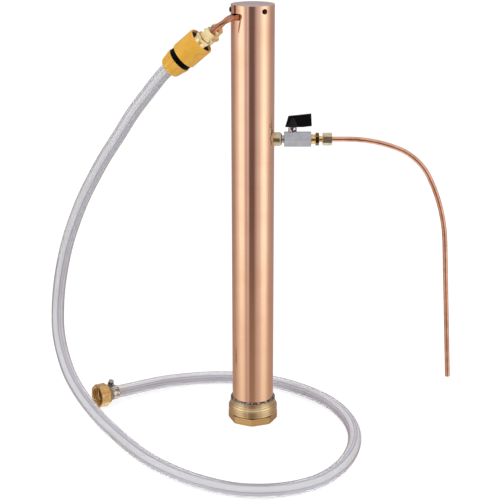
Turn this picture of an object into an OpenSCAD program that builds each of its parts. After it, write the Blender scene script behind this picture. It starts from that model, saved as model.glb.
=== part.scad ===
// Still column head: a copper condenser column with a side take-off, and the cooling-water hose on
// the supply tail of its coil. Millimetres, +Z up. The origin is the centre of the base fitting's
// bottom face. +X points to the take-off valve and the spout, and -Y to the front.

/* [Column] */
// Outer diameter of the copper column
tube_od = 54; // [52:0.5:57]
// Wall of the copper column
tube_wall = 1.65; // [1.2:0.05:1.9]
// Height of the column's rim above the bottom of the base fitting
rim_z = 549; // [540:1:580]
// Depth of the level slot's middle below the rim
slot_drop = 14; // [13.5:0.25:18]
// Height of the level slot
slot_h = 7.6; // [7.4:0.1:9]
// Length of the level slot, straight across
slot_len = 20; // [19.6:0.1:22]
// Width of the way into the slot from the rim, at the slot's end
slot_entry = 11.8; // [9.5:0.1:13]

/* [Top cap] */
// Sheet of the cap
cap_wall = 1.5; // [1:0.1:2.5]
// Rise of the cap's middle above the rim
cap_rise = 2; // [0.5:0.25:5]
// Depth of the cap's skirt below the rim
cap_skirt = 10; // [9:0.25:10.2]
// Thread diameter of the cap's screws
cap_screw_d = 3.5; // [3:0.5:4]
// Head diameter of the cap's screws
cap_head_d = 6.6; // [5.5:0.1:7]

/* [Base fitting] */
// Width of the octagon across its flats
base_flats = 60; // [58:0.5:64]
// Height of the octagon
octagon_h = 10.6; // [8:0.1:12]
// Wall of the turned socket round the column
socket_wall = 5.2; // [4:0.1:7]
// Overall height of the fitting
base_h = 30; // [28:0.5:40]
// Bore of the female thread, crest to crest
thread_bore = 44.8; // [40:0.1:46]
// Length of the female thread
thread_len = 16; // [12:0.5:17]
// Height of the solder bead above the socket
bead_h = 2.2; // [1.2:0.1:4]

/* [Take-off] */
// Height of the take-off's axis
takeoff_z = 381; // [365:1:392]
// Width of the valve's hexagon across its flats
valve_flats = 18; // [17:0.5:20]
// Length of the valve's hexagon
valve_len = 33.7; // [33:0.1:38]
// Bore of the valve and the ball
valve_bore = 6; // [4:0.5:6.5]
// Diameter of the valve's ball
ball_d = 11; // [10:0.1:11.4]
// Lean of the valve stem to the back, in degrees
valve_lean = 6; // [0:1:20]
// Height of the lever
lever_h = 16.7; // [14:0.1:20]
// Reach of the lever past the stem
lever_reach = 24; // [18:0.5:32]
// Thickness of the lever
lever_w = 5.5; // [5:0.1:6.5]

/* [Spout and tails] */
// Outer diameter of the spout and of the coil's tube
pipe_od = 6.35; // [6:0.05:6.6]
// Wall of the spout and of the coil's tube
pipe_wall = 0.8; // [0.5:0.05:1]
// Length of the spout's straight end
spout_end = 187; // [120:1:205]
// Width of the spout nut across its flats
spout_nut_flats = 14; // [13:0.5:17]

/* [Coil] */
// Turns of the cooling coil
coil_turns = 6; // [3:1:7]
// Gap between the coil and the column's wall
coil_gap = 4.2; // [3.6:0.1:6]

/* [Hose coupling] */
// Width of the tail nuts across their flats
tail_nut_flats = 13.5; // [13:0.25:16]
// Length of the tail nuts
tail_nut_len = 12.6; // [12:0.1:15]
// Width of the nipple's hexagon across its flats
nipple_flats = 19; // [18:0.5:21]
// Diameter of the nipple where the claws hold it
nipple_d = 17.2; // [16.8:0.1:17.6]
// Outer diameter of the release sleeve
sleeve_od = 35; // [34.2:0.1:38]
// Length of the release sleeve
sleeve_len = 30.5; // [29.5:0.1:32.5]
// Travel of the release sleeve
sleeve_travel = 4.5; // [3:0.1:4.6]
// Length of the clamping collar
collar_len = 18; // [17:0.5:20]

/* [Hose] */
// Outer diameter of the hose
hose_od = 17; // [16.6:0.1:17.4]
// Bore of the hose
hose_bore = 12.5; // [12.2:0.1:13]

/* [Hose end] */
// Width of the swivel nut across its flats
swivel_flats = 30; // [29:0.5:31]
// Length of the swivel nut
swivel_len = 17; // [16.5:0.25:19]
// Bore of the swivel nut's thread, crest to crest
swivel_bore = 24.8; // [24:0.1:26]
// Width of the clamp's band
band_w = 9; // [7:0.5:12]

/* [Hidden] */
$fn = 64;

// How far a cut runs past the face it opens
past = 1;
// Running and sliding fits, loose fits, and the film of solder in a soldered joint, radial
slide = 0.08;
loose = 0.2;
film = 0.02;

copper = "#b8683f";
copper_pink = "#c79a86";
brass = "#c9a85c";
nickel = "#a3a29c";
chrome = "#d5d6d8";
black = "#1c1c1e";
amber = "#e0a93a";
vinyl = "#b9beb8";
tin = "#5a5a5c";
white = "#e9e7e0";

// Column
tube_r = tube_od / 2;
tube_in = tube_r - tube_wall;
slot_z = rim_z - slot_drop;
// Direction that the slot faces, from +X
slot_az = -145;
screw_az = [-58, -178, 62];
screw_drop = 6.6;
cap_r = tube_in - 0.15;

// Base fitting
base_turn = -2.4;
groove_w = 1;
groove_r = base_flats / 2 - 1.2;
bevel_from = 19.5;
bevel_to = 24.5;
// Shelf that the column stands on
shelf_h = 2;
shelf_lap = 1.35;
seat_z = thread_len + shelf_h;

// Inside the column
screen_t = 1.2;
roll_count = 3;
plate_t = 1;
plate_tilt = 25;
plate_past = 6;
lower_plate_z = takeoff_z - 8;
upper_plate_z = takeoff_z + 24;
inside_fit = 0.2;

// Take-off: places along its axis, from the column's centre line
spigot_r = 6;
bushing_r = 8.7;
bushing_from = tube_in - 0.6;
bushing_round = tube_r + 6;
bushing_to = tube_r + 9.5;
body_from = bushing_to + 2.8;
body_to = body_from + valve_len;
stub_r = 4.8;
stub_len = 9.3;
stem_x = body_from + 10.5;
ball_r = ball_d / 2;
chamber_r = 6.6;
seat_t = 2.4;
stem_r = 2.5;
chamber_from = stem_x - ball_r + 1 - seat_t - 0.1;
insert_from = stem_x + ball_r - 1 + seat_t + 0.1;
spigot_len = 7.5;

// Stem parts: heights above the take-off's axis
boss_r = 4;
boss_to = valve_flats / 2 + 3.5;
gland_r = 5.4;
gland_to = valve_flats / 2 + 5.5;
packing_r = boss_r - 0.6;
packing_from = boss_to - 2.5;
lever_from = gland_to + 0.8;
// Square on the stem, and the seat of the lever's screw above it
square_w = 3.4;
square_h = lever_h * 0.35;
screw_seat = square_h + 1.6;

// Spout fittings, along the take-off's axis
adapter_r = 6;
adapter_hex_from = body_to + 5.4;
adapter_hex_to = adapter_hex_from + 4.6;
adapter_neck_to = adapter_hex_to + 4.5;
adapter_to = adapter_neck_to + 7.5;
spout_nut_to = adapter_neck_to + 11.8;
pipe_r = pipe_od / 2;
pipe_in = pipe_r - pipe_wall;
pipe_stop = adapter_hex_to + 1;
spout_straight = 20;
spout_bend_x = spout_nut_to + spout_straight;
// Bends of the spout from the valve down, each a radius and a turn
spout_top_bend = 171;
spout_mid_bend = 78;
spout_low_bend = 218;
spout_bends = [[spout_top_bend, 21.8], [spout_mid_bend, 40.9], [spout_low_bend, 23.7]];

// Tails: where each enters its nut, out from the column and below the slot, the way it heads
// from +X, and its drop below level
front_az = 163.1;
front_drop = 40.4;
front_reach = 30.7;
front_below = 14.8;
front_entry = concat((tube_r + front_reach) * [cos(-147.4), sin(-147.4)], slot_z - front_below);
rear_az = 139;
rear_drop = 40;
rear_reach = 15.3;
rear_below = 15.2;
rear_entry = concat((tube_r + rear_reach) * [cos(-177.3), sin(-177.3)], slot_z - rear_below);
// The coil's two ends rise inside the column, the front tail's in its middle
riser_apart = 9;
riser_off = 2;
front_riser = [0, 0];
rear_riser = [-riser_apart, riser_off];
riser_bend = 9;
front_bend = 20;
rear_bend = 8.5;
pipe_sides = 16;
bend_step = 9;

// Coil
coil_r = tube_in - coil_gap - pipe_r;
coil_join_drop = 19;
coil_top_drop = 35;
coil_low_rise = 33;
coil_join_z = slot_z - coil_join_drop;
coil_top_z = slot_z - coil_top_drop;
coil_low_z = takeoff_z + coil_low_rise;
coil_pitch = (coil_top_z - coil_low_z) / coil_turns;
coil_lead_bend = 8;
coil_foot_bend = 5.5;
coil_sides = 8;
coil_steps = 12;

// Tail couplings: distances from the nut's face along the tail
nut_wall = 3.5;
pipe_end = 12;
ferrule_len = 2.4;
ferrule_r = 4.9;
nut_cavity_r = 5.3;
nipple_thread_r = 5.1;
nipple_hex_len = 3.75;
nipple_from = tail_nut_len + nipple_hex_len;
nipple_r = nipple_d / 2;
claw_from = nipple_from + 7.9;
claw_len = 3.2;
oring_at = nipple_from + 15;
oring_r = 1.25;
nipple_tip_r = 7.9;
nipple_to = nipple_from + 23.5;
nipple_bore_r = 3.5;

// Quick connector, on the same axis
body_front = nipple_from + 5;
head_r = sleeve_od / 2 - 1.8;
head_len = 10.4;
waist_r = 13.1;
body_len = 34.6;
shoulder_len = 9.1;
shoulder_to = body_front + body_len;
shoulder_from = shoulder_to - shoulder_len;
socket_r = nipple_r + 0.6;
socket_to = nipple_to + 3;
water_r = 4.5;
tail_thread_r = 13.5;
tail_thread_to = shoulder_to + 7;
barb_from = shoulder_to + 2.9;
barb_to = shoulder_to + 16.5;
sleeve_from = body_front - 3.3;
sleeve_to = sleeve_from + sleeve_len;
sleeve_edge = 1.5;
lip_from = body_front + head_len + 0.15;
lip_len = 2;
lip_r = waist_r + 0.2;
claw_w = 5;
claw_fit = 0.2;
claw_count = 4;
wire_r = 0.5;
spring_turns = 6;
spring_r = 14.4;
grip_from = tail_thread_to + 1;
grip_len = 8.5;
grip_nose_r = hose_od / 2 + 1.2;
grip_slits = 6;
collar_to = shoulder_to + collar_len;
collar_r = 16.9;
collar_shoulder_r = 14.4;
grip_r = collar_shoulder_r - 2;
collar_nose_r = 10.5;
collar_flutes = 12;
flute_r = 2.6;
flute_depth = 1.2;
dimple_at = 11.3;
dimple_r = 20;
dimple_depth = 0.9;
dimple_count = 6;

// Hose
hose_r = hose_od / 2;
hose_in = hose_bore / 2;
hose_sides = 12;
hose_gap = 0.25;
hose_from = barb_from + 1;
hose_straight_to = collar_to + 17;
// Route of the free hose, from the connector down to the bench and round to the hose end
hose_route = [
    [-129, -2, 441], [-150, 6, 413], [-169, 14, 383], [-189, 25, 352], [-206, 36, 322],
    [-222, 47, 291], [-236, 57, 258], [-248, 66, 225], [-257, 71, 191], [-263, 72, 159],
    [-266, 69, 127], [-265, 59, 99], [-258, 43, 73], [-245, 18, 51], [-225, -9, 31],
    [-201, -37, 15], [-179, -66, 8.6], [-158, -101, 8.6], [-130, -141, 8.6], [-96, -176, 8.6],
    [-56, -205, 8.6], [-12, -222, 8.6], [36, -220, 8.6], [77, -200, 8.6], [107, -163, 8.6],
    [125, -117, 8.6], [131, -70, 8.6], [125, -23, 8.6], [106, 24, 8.6], [75, 62, 8.6],
    [36, 92, 8.6], [-8, 108, 8.6], [-52, 112, 8.6], [-94, 105, 9], [-129, 90, 10.6]
];

// Hose end: the mouth of the swivel nut, and the way from it into the hose
mouth = [-212, 31, 15.8];
mouth_az = 36;
mouth_drop = 3.1;
washer_from = 9.5;
washer_room_r = swivel_bore / 2 + 0.5;
washer_t = 2.4;
flange_from = washer_from + washer_t;
flange_t = 2.8;
flange_r = 11.5;
neck_r = 7.6;
swivel_corner_r = 16;
swivel_cavity_to = flange_from + flange_t + 0.2;
swivel_rim = 13;
barb_tail = 46;
hose_stop = 20;
end_straight = 55;
band_t = 0.65;
band_at = 26;
housing_turn = 112;
worm_r = 2.5;
housing_out = hose_r + hose_gap + band_t + 0.05 + worm_r;

// ---- Shared shapes ----

function unit(v) = v / norm(v);

// Rounded corners on a line of points: each inner corner becomes an arc of its own radius
function rounded(points, bends) = [
    points[0],
    for (i = [1 : len(points) - 2])
        let (
            into = unit(points[i] - points[i - 1]),
            out = unit(points[i + 1] - points[i]),
            turn = acos(into * out),
            side = unit(out - into * (into * out)),
            start = points[i] - into * bends[i - 1] * tan(turn / 2),
            steps = max(2, ceil(turn / bend_step))
        )
        for (k = [0 : steps])
            let (a = turn * k / steps)
            start + bends[i - 1] * (into * sin(a) + side * (1 - cos(a))),
    points[len(points) - 1]
];

// A path without the points that repeat the one before, where a bend runs straight into the next
function distinct(path) = [
    for (i = [0 : len(path) - 1])
        if (i == 0 || norm(path[i] - path[i - 1]) > 0.01) path[i]
];

// Direction of a path at each of its points
function headings(path) = [
    for (i = [0 : len(path) - 1])
        i == 0 ? unit(path[1] - path[0])
        : i == len(path) - 1 ? unit(path[i] - path[i - 1])
        : unit(unit(path[i + 1] - path[i]) + unit(path[i] - path[i - 1]))
];

// One vector square to the path at each point, carried along so that the tube doesn't twist
function across(along, first) = [
    for (
        i = 0, n = unit(first - along[0] * (along[0] * first));
        i < len(along);
        i = i + 1,
        n = i < len(along) ? unit(n - along[i] * (along[i] * n)) : n
    ) n
];

// Tube along a path, open at both ends, its faces all triangles
module swept_tube(points, r, bore, sides, first = [0, 1, 0]) {
    path = distinct(points);
    along = headings(path);
    side = across(along, first);
    rings = len(path);
    bore_corner = bore / cos(180 / sides);
    corners = [
        for (radius = [r, bore_corner])
            for (i = [0 : rings - 1])
                for (k = [0 : sides - 1])
                    let (a = 360 * k / sides)
                    path[i] + radius * (side[i] * cos(a) + cross(along[i], side[i]) * sin(a))
    ];
    inner = rings * sides;
    wall = [
        for (i = [0 : rings - 2])
            for (k = [0 : sides - 1])
                let (
                    next = (k + 1) % sides,
                    a = i * sides + k,
                    b = i * sides + next,
                    c = a + sides,
                    d = b + sides
                )
                each [
                    [a, b, d], [a, d, c],
                    [inner + a, inner + d, inner + b], [inner + a, inner + c, inner + d]
                ]
    ];
    last = (rings - 1) * sides;
    ends = [
        for (k = [0 : sides - 1])
            let (next = (k + 1) % sides)
            each [
                [k, inner + next, next], [k, inner + k, inner + next],
                [last + k, last + next, inner + last + next],
                [last + k, inner + last + next, inner + last + k]
            ]
    ];
    polyhedron(points = corners, faces = [for (f = concat(wall, ends)) [f[2], f[1], f[0]]]);
}

// Point at a distance along a straight line that starts at a point and heads az round, drop down
function ahead(start, az, drop, distance) =
    start + distance * [cos(drop) * cos(az), cos(drop) * sin(az), -sin(drop)];

// Children stand on such a line, their +Z along it
module heading(start, az, drop) translate(start) rotate([0, 90 + drop, az]) children();

// Children stand on the take-off's axis: x along it, z up the leaning valve stem
module takeoff_frame() translate([0, 0, takeoff_z]) rotate([-valve_lean, 0, 0]) children();

// Children's +Z turns to +X, from a place along the take-off
module along_x(x) translate([x, 0, 0]) rotate([0, 90, 0]) children();

module ring(r, bore_r, h) {
    difference() {
        cylinder(r = r, h = h);
        translate([0, 0, -past]) cylinder(r = bore_r, h = h + 2 * past);
    }
}

// Prism with equal flats and its corners turned off at both ends
module turned_prism(flats, h, sides, chamfer = 0.8) {
    corner_r = flats / 2 / cos(180 / sides);
    crown_r = flats / 2 + (corner_r - flats / 2) * 0.35;
    intersection() {
        rotate(180 / sides) cylinder(r = corner_r, h = h, $fn = sides);
        union() {
            cylinder(r1 = crown_r, r2 = corner_r + 0.5, h = chamfer);
            translate([0, 0, chamfer]) cylinder(r = corner_r + 0.5, h = h - 2 * chamfer);
            translate([0, 0, h - chamfer]) cylinder(r1 = corner_r + 0.5, r2 = crown_r, h = chamfer);
        }
    }
}

// Points of an arc in a profile
function arc(centre, r, from, to, steps = 6) = [
    for (k = [0 : steps])
        let (a = from + (to - from) * k / steps)
        centre + r * [cos(a), sin(a)]
];

// ---- Column ----

// Outline of the slot as seen square on: a level way, and at its end the way in from the rim
module slot_outline() {
    end_r = slot_h / 2;
    reach = slot_len / 2 - end_r;
    entry_left = slot_len / 2 - slot_entry;
    rim_y = slot_drop + past;
    polygon(concat(
        arc([reach, 0], end_r, -90, 0),
        [[slot_len / 2, rim_y], [entry_left, rim_y], [entry_left, end_r]],
        arc([-reach, 0], end_r, 90, 270, 12)
    ));
}

module slot_cut() {
    translate([0, 0, slot_z])
        rotate([0, 0, slot_az])
            rotate([90, 0, 90])
                translate([0, 0, tube_in / 2])
                    linear_extrude(height = tube_r)
                        slot_outline();
}

// Holes or shanks of the cap's screws, from inside the skirt outwards
module cap_screw_places() {
    for (az = screw_az)
        rotate([0, 0, az])
            translate([0, 0, rim_z - screw_drop])
                rotate([0, 90, 0])
                    children();
}

module column_tube() {
    color(copper)
        difference() {
            translate([0, 0, seat_z]) ring(tube_r, tube_in, rim_z - seat_z);
            slot_cut();
            cap_screw_places()
                translate([0, 0, tube_in - past])
                    cylinder(d = cap_screw_d + 2 * loose, h = tube_wall + 2 * past);
            translate([0, 0, takeoff_z])
                along_x(tube_in - past)
                    cylinder(r = spigot_r + film, h = tube_wall + 2 * past);
        }
}

module top_cap() {
    dome_r = (cap_r * cap_r + cap_rise * cap_rise) / (2 * cap_rise);
    half_angle = asin(cap_r / dome_r);
    dome = [0, rim_z + cap_rise - dome_r];
    color(copper_pink)
        difference() {
            rotate_extrude()
                polygon(concat(
                    arc(dome, dome_r, 90, 90 - half_angle, 10),
                    [
                        [cap_r, rim_z - cap_skirt],
                        [cap_r - cap_wall, rim_z - cap_skirt],
                        [cap_r - cap_wall, rim_z - cap_wall],
                        [0, rim_z + cap_rise - cap_wall]
                    ]
                ));
            cap_screw_places()
                translate([0, 0, cap_r - cap_wall - past])
                    cylinder(d = cap_screw_d + 2 * slide, h = cap_wall + 2 * past);
        }
}

module cap_screws() {
    head_h = 1.9;
    shank_from = cap_r - cap_wall - 2;
    color(black)
        cap_screw_places() {
            translate([0, 0, shank_from]) cylinder(d = cap_screw_d, h = tube_r - shank_from + 0.2);
            difference() {
                translate([0, 0, tube_r])
                    rotate_extrude()
                        polygon(concat(
                            [[0, 0], [cap_head_d / 2, 0], [cap_head_d / 2, 0.4]],
                            [for (a = [15 : 15 : 75])
                                [cap_head_d / 2 * cos(a), 0.4 + (head_h - 0.4) * sin(a)]],
                            [[0, head_h]]
                        ));
                translate([0, 0, tube_r + head_h - 1])
                    cylinder(d = 2.3, h = 1 + past, $fn = 6);
            }
        }
}

module base_fitting() {
    body_r = tube_r + socket_wall;
    top_r = tube_r + socket_wall / 2 + 0.1;
    color(brass)
        difference() {
            union() {
                rotate(base_turn - 22.5) turned_prism(base_flats, octagon_h, 8, 0.4);
                translate([0, 0, octagon_h - past]) cylinder(r = groove_r, h = groove_w + 2 * past);
                translate([0, 0, octagon_h + groove_w])
                    cylinder(r = body_r, h = bevel_from - octagon_h - groove_w);
                translate([0, 0, bevel_from])
                    cylinder(r1 = body_r, r2 = top_r, h = bevel_to - bevel_from);
                translate([0, 0, bevel_to]) cylinder(r = top_r, h = base_h - bevel_to);
            }
            translate([0, 0, -past]) cylinder(d = thread_bore, h = thread_len + past);
            translate([0, 0, thread_len - past])
                cylinder(r = tube_in - shelf_lap, h = shelf_h + 2 * past);
            translate([0, 0, seat_z]) cylinder(r = tube_r + film, h = base_h);
        }
}

module solder_bead() {
    reach = socket_wall / 2 - 0.4;
    color(tin)
        translate([0, 0, base_h])
            rotate_extrude()
                polygon(concat(
                    [[tube_r + film, 0]],
                    [for (a = [0 : 15 : 90]) [tube_r + 0.1 + reach * cos(a), bead_h * sin(a)]],
                    [[tube_r + film, bead_h]]
                ));
}

// ---- Inside the column ----

module support_screen() {
    hole_r = 1.6;
    rows = [[6, 4.5], [12, 9], [18, 13.5], [24, 18], [30, 22.3]];
    color(copper)
        translate([0, 0, seat_z])
            difference() {
                cylinder(r = tube_in - inside_fit, h = screen_t);
                translate([0, 0, -past]) cylinder(r = hole_r, h = screen_t + 2 * past);
                for (row = rows)
                    for (k = [0 : row[0] - 1])
                        rotate(360 * k / row[0])
                            translate([row[1], 0, -past])
                                cylinder(r = hole_r, h = screen_t + 2 * past);
            }
}

// Rolls of mesh, stacked from the screen up to just under the lower plate
module mesh_rolls() {
    bottom = seat_z + screen_t;
    top = lower_plate_z - plate_t - 16;
    roll_h = (top - bottom) / roll_count;
    color(copper)
        for (k = [0 : roll_count - 1])
            translate([0, 0, bottom + 0.1 + k * roll_h])
                ring(tube_in - inside_fit, 2, roll_h - 0.3);
}

// Slanted plate that starts at one wall of the column and ends past its middle
module slant_plate(wall_z, side, slope) {
    reach = tube_in - inside_fit;
    span = (reach + plate_past) / cos(plate_tilt);
    color(copper)
        intersection() {
            cylinder(r = reach, h = rim_z);
            translate([side * reach, 0, wall_z])
                rotate([0, 0, side > 0 ? 180 : 0])
                    rotate([0, -slope * plate_tilt, 0])
                        translate([-past, -reach, 0])
                            cube([span + past, 2 * reach, plate_t]);
        }
}

module lower_plate() slant_plate(lower_plate_z, 1, 1);
module upper_plate() slant_plate(upper_plate_z, -1, -1);

// ---- Coil and its tails ----

function level_to(entry, az, drop) =
    ahead(entry, az, drop, -(slot_z - entry[2]) / sin(drop));

function tail_path(riser, entry, az, drop, bend) = rounded(
    [
        concat(riser, coil_join_z),
        concat(riser, slot_z),
        level_to(entry, az, drop),
        ahead(entry, az, drop, pipe_end)
    ],
    [riser_bend, bend]
);

front_tail_path = tail_path(front_riser, front_entry, front_az, front_drop, front_bend);
rear_tail_path = tail_path(rear_riser, rear_entry, rear_az, rear_drop, rear_bend);

module front_tail() color(copper) swept_tube(front_tail_path, pipe_r, pipe_in, pipe_sides);
module rear_tail() color(copper) swept_tube(rear_tail_path, pipe_r, pipe_in, pipe_sides);

// The coil starts under the rear riser, winds down, and comes back up under the front riser
coil_slope = coil_pitch / (2 * PI * coil_r);
coil_lead = 8;
coil_foot = 9;
coil_path = concat(
    rounded(
        [
            concat(rear_riser, coil_join_z),
            concat(rear_riser, coil_top_z + coil_lead * coil_slope * 3.5),
            [-coil_lead, -coil_r, coil_top_z + coil_lead * coil_slope],
            [0, -coil_r, coil_top_z]
        ],
        [coil_lead_bend, coil_lead_bend]
    ),
    [
        for (k = [1 : coil_turns * coil_steps - 1])
            let (a = -90 + 360 * k / coil_steps)
            [coil_r * cos(a), coil_r * sin(a), coil_top_z - coil_pitch * k / coil_steps]
    ],
    rounded(
        [
            [0, -coil_r, coil_low_z],
            [coil_foot, -coil_r, coil_low_z - coil_foot * coil_slope],
            concat(front_riser, coil_low_z - coil_foot * coil_slope * 2),
            concat(front_riser, coil_join_z)
        ],
        [coil_foot_bend, coil_lead_bend]
    )
);

// Least gap between one turn of the coil and the next
echo(coil_turn_gap = coil_pitch * cos(atan(coil_slope)) - pipe_od);

module condenser_coil() color(copper) swept_tube(coil_path, pipe_r, pipe_in, coil_sides);

// ---- Take-off valve ----

module outlet_bushing() {
    nose_r = stub_r + 0.9;
    nose_len = bushing_to - bushing_round;
    root = tube_r - 3;
    color(brass)
        difference() {
            translate([0, 0, takeoff_z])
                along_x(0)
                    rotate_extrude()
                        polygon(concat(
                            [[0, root], [bushing_r, root]],
                            [for (a = [0 : 15 : 90]) [
                                nose_r + (bushing_r - nose_r) * cos(a),
                                bushing_round + nose_len * sin(a)
                            ]],
                            [[0, bushing_to]]
                        ));
            cylinder(r = tube_r + film, h = rim_z);
            takeoff_frame()
                along_x(root - past) cylinder(d = valve_bore, h = bushing_to - root);
            takeoff_frame()
                along_x(body_from - stub_len)
                    cylinder(r = stub_r + slide, h = stub_len + past);
        }
    color(brass)
        takeoff_frame()
            along_x(bushing_from)
                ring(spigot_r, valve_bore / 2, tube_r + 1 - bushing_from);
}

// Stem hole and stuffing box, cut down from above
module stem_holes() {
    translate([stem_x, 0, 0]) {
        cylinder(r = stem_r + slide, h = boss_to + past);
        translate([0, 0, packing_from])
            cylinder(r = packing_r, h = boss_to - packing_from + past);
    }
}

module valve_body() {
    color(nickel)
        takeoff_frame()
            difference() {
                union() {
                    along_x(body_from) turned_prism(valve_flats, valve_len, 6);
                    along_x(body_from - stub_len) cylinder(r = stub_r, h = stub_len + past);
                    translate([stem_x, 0, valve_flats / 2 - 1])
                        rotate(30) cylinder(r = boss_r, h = boss_to - valve_flats / 2 + 1);
                }
                along_x(body_from - stub_len - past)
                    cylinder(d = valve_bore, h = chamber_from - body_from + stub_len + 2 * past);
                along_x(chamber_from)
                    cylinder(r = chamber_r, h = body_to - chamber_from + past);
                stem_holes();
            }
}

module valve_insert() {
    color(nickel)
        takeoff_frame()
            difference() {
                along_x(insert_from)
                    cylinder(r = chamber_r - slide, h = body_to - 0.6 - insert_from);
                along_x(insert_from - past)
                    cylinder(d = valve_bore, h = body_to - insert_from + past);
                along_x(body_to - spigot_len - 0.5)
                    cylinder(r = stub_r + slide, h = spigot_len + 0.5 + past);
            }
}

module valve_seats() {
    color(white)
        takeoff_frame()
            difference() {
                for (from = [stem_x - ball_r + 1 - seat_t, stem_x + ball_r - 1])
                    along_x(from) ring(chamber_r - slide, valve_bore / 2, seat_t);
                translate([stem_x, 0, 0]) sphere(r = ball_r + slide);
            }
}

module valve_ball() {
    color(chrome)
        takeoff_frame()
            translate([stem_x, 0, 0])
                difference() {
                    sphere(r = ball_r);
                    along_x(-ball_d) cylinder(d = valve_bore, h = 2 * ball_d);
                    translate([-ball_r, -0.9, ball_r - 1.6]) cube([ball_d, 1.8, 3]);
                }
}

module valve_stem() {
    tang_from = ball_r - 1.5;
    foot = ball_r + 0.3;
    color(brass)
        takeoff_frame()
            translate([stem_x, 0, 0])
                difference() {
                    union() {
                        translate([-stem_r + 0.4, -0.8, tang_from])
                            cube([2 * stem_r - 0.8, 1.6, foot - tang_from + 0.3]);
                        translate([0, 0, foot]) cylinder(r = stem_r, h = lever_from - foot);
                        translate([-square_w / 2, -square_w / 2, lever_from - 0.1])
                            cube([square_w, square_w, square_h]);
                    }
                    translate([0, 0, lever_from]) cylinder(r = 1.1, h = lever_h);
                }
}

module stem_packing() {
    color(white)
        takeoff_frame()
            translate([stem_x, 0, packing_from])
                ring(packing_r - slide, stem_r + slide, boss_to - packing_from + 0.2);
}

module stem_nut() {
    from = valve_flats / 2 + 0.05;
    color(chrome)
        takeoff_frame()
            translate([stem_x, 0, 0])
                difference() {
                    union() {
                        translate([0, 0, from]) cylinder(r = gland_r, h = gland_to - 0.6 - from);
                        translate([0, 0, gland_to - 0.6])
                            cylinder(r1 = gland_r, r2 = gland_r - 0.6, h = 0.6);
                    }
                    translate([0, 0, from - past])
                        cylinder(r = boss_r + slide, h = boss_to + 0.25 - from + past);
                    cylinder(r = stem_r + slide, h = gland_to + past);
                }
}

// Side view of the lever's blade: low at the heel, with its top edge rising to the tip
module blade_outline() {
    rear = -9.3;
    polygon([
        [rear, 0],
        [lever_reach * 0.55, 0],
        [lever_reach, 1.3],
        [lever_reach - 0.8, lever_h],
        [-5.3, lever_h - 3],
    ]);
}

module valve_lever() {
    hub_h = lever_h * 0.64;
    color(black)
        takeoff_frame()
            translate([stem_x, 0, lever_from])
                difference() {
                    union() {
                        translate([0, lever_w / 2, 0])
                            rotate([90, 0, 0])
                                linear_extrude(height = lever_w)
                                    blade_outline();
                        cylinder(r1 = 7.3, r2 = 3.2, h = hub_h);
                    }
                    translate([-square_w / 2 - 0.1, -square_w / 2 - 0.1, -past])
                        cube([square_w + 0.2, square_w + 0.2, square_h + past + 0.2]);
                    cylinder(r = 1.3, h = screw_seat + past);
                    translate([0, 0, screw_seat]) cylinder(r = 2.15, h = lever_h);
                }
}

module lever_screw() {
    color(nickel)
        takeoff_frame()
            translate([stem_x, 0, lever_from]) {
                translate([0, 0, 1]) cylinder(r = 1.05, h = screw_seat - 0.8);
                difference() {
                    translate([0, 0, screw_seat]) cylinder(r = 2, h = 2);
                    translate([-2.5, -0.3, screw_seat + 1.2]) cube([5, 0.6, 2]);
                }
            }
}

// ---- Spout ----

module spout_adapter() {
    color(brass)
        takeoff_frame()
            difference() {
                union() {
                    along_x(body_to - spigot_len) cylinder(r = stub_r, h = spigot_len + past);
                    along_x(body_to + 0.05) cylinder(r = adapter_r, h = adapter_hex_from - body_to);
                    along_x(adapter_hex_from)
                        rotate(30)
                            turned_prism(
                                spout_nut_flats, adapter_hex_to - adapter_hex_from, 6, 0.5
                            );
                    along_x(adapter_hex_to - past)
                        cylinder(
                            r = nut_cavity_r - 1.4,
                            h = adapter_neck_to - adapter_hex_to + 2 * past
                        );
                    along_x(adapter_neck_to)
                        cylinder(r = nipple_thread_r, h = adapter_to - adapter_neck_to);
                }
                along_x(body_to - spigot_len - past)
                    cylinder(r = pipe_in, h = pipe_stop - body_to + spigot_len + 2 * past);
                along_x(pipe_stop)
                    cylinder(r = pipe_r + slide, h = adapter_to - pipe_stop + past);
            }
}

module spout_ferrule() {
    color(brass) takeoff_frame() along_x(adapter_to + 0.05) olive();
}

// Compression ring, thick at its ends' middle
module olive() {
    difference() {
        union() {
            cylinder(r1 = ferrule_r - 0.7, r2 = ferrule_r, h = ferrule_len / 2);
            translate([0, 0, ferrule_len / 2])
                cylinder(r1 = ferrule_r, r2 = ferrule_r - 0.7, h = ferrule_len / 2);
        }
        translate([0, 0, -past]) cylinder(r = pipe_r + slide / 2, h = ferrule_len + 2 * past);
    }
}

module spout_nut() {
    cavity_to = adapter_to + ferrule_len + 0.1;
    color(brass)
        takeoff_frame()
            difference() {
                along_x(adapter_neck_to + 0.1)
                    rotate(30)
                        turned_prism(spout_nut_flats, spout_nut_to - adapter_neck_to - 0.1, 6);
                along_x(adapter_neck_to - past)
                    cylinder(r = nut_cavity_r, h = cavity_to - adapter_neck_to + past);
                along_x(cavity_to - past)
                    cylinder(r = pipe_r + slide, h = spout_nut_to - cavity_to + 2 * past);
            }
}

// Corners of the spout's centre line: each bend runs straight into the next
function heading_after(n) = n == 0 ? 0 : heading_after(n - 1) + spout_bends[n - 1][1];
function bend_cut(n) = spout_bends[n][0] * tan(spout_bends[n][1] / 2);
function down(a) = [cos(a), 0, -sin(a)];
function spout_corner(n) =
    n == 0 ? [spout_bend_x + bend_cut(0), 0, takeoff_z]
    : spout_corner(n - 1) + (bend_cut(n - 1) + bend_cut(n)) * down(heading_after(n));

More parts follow.
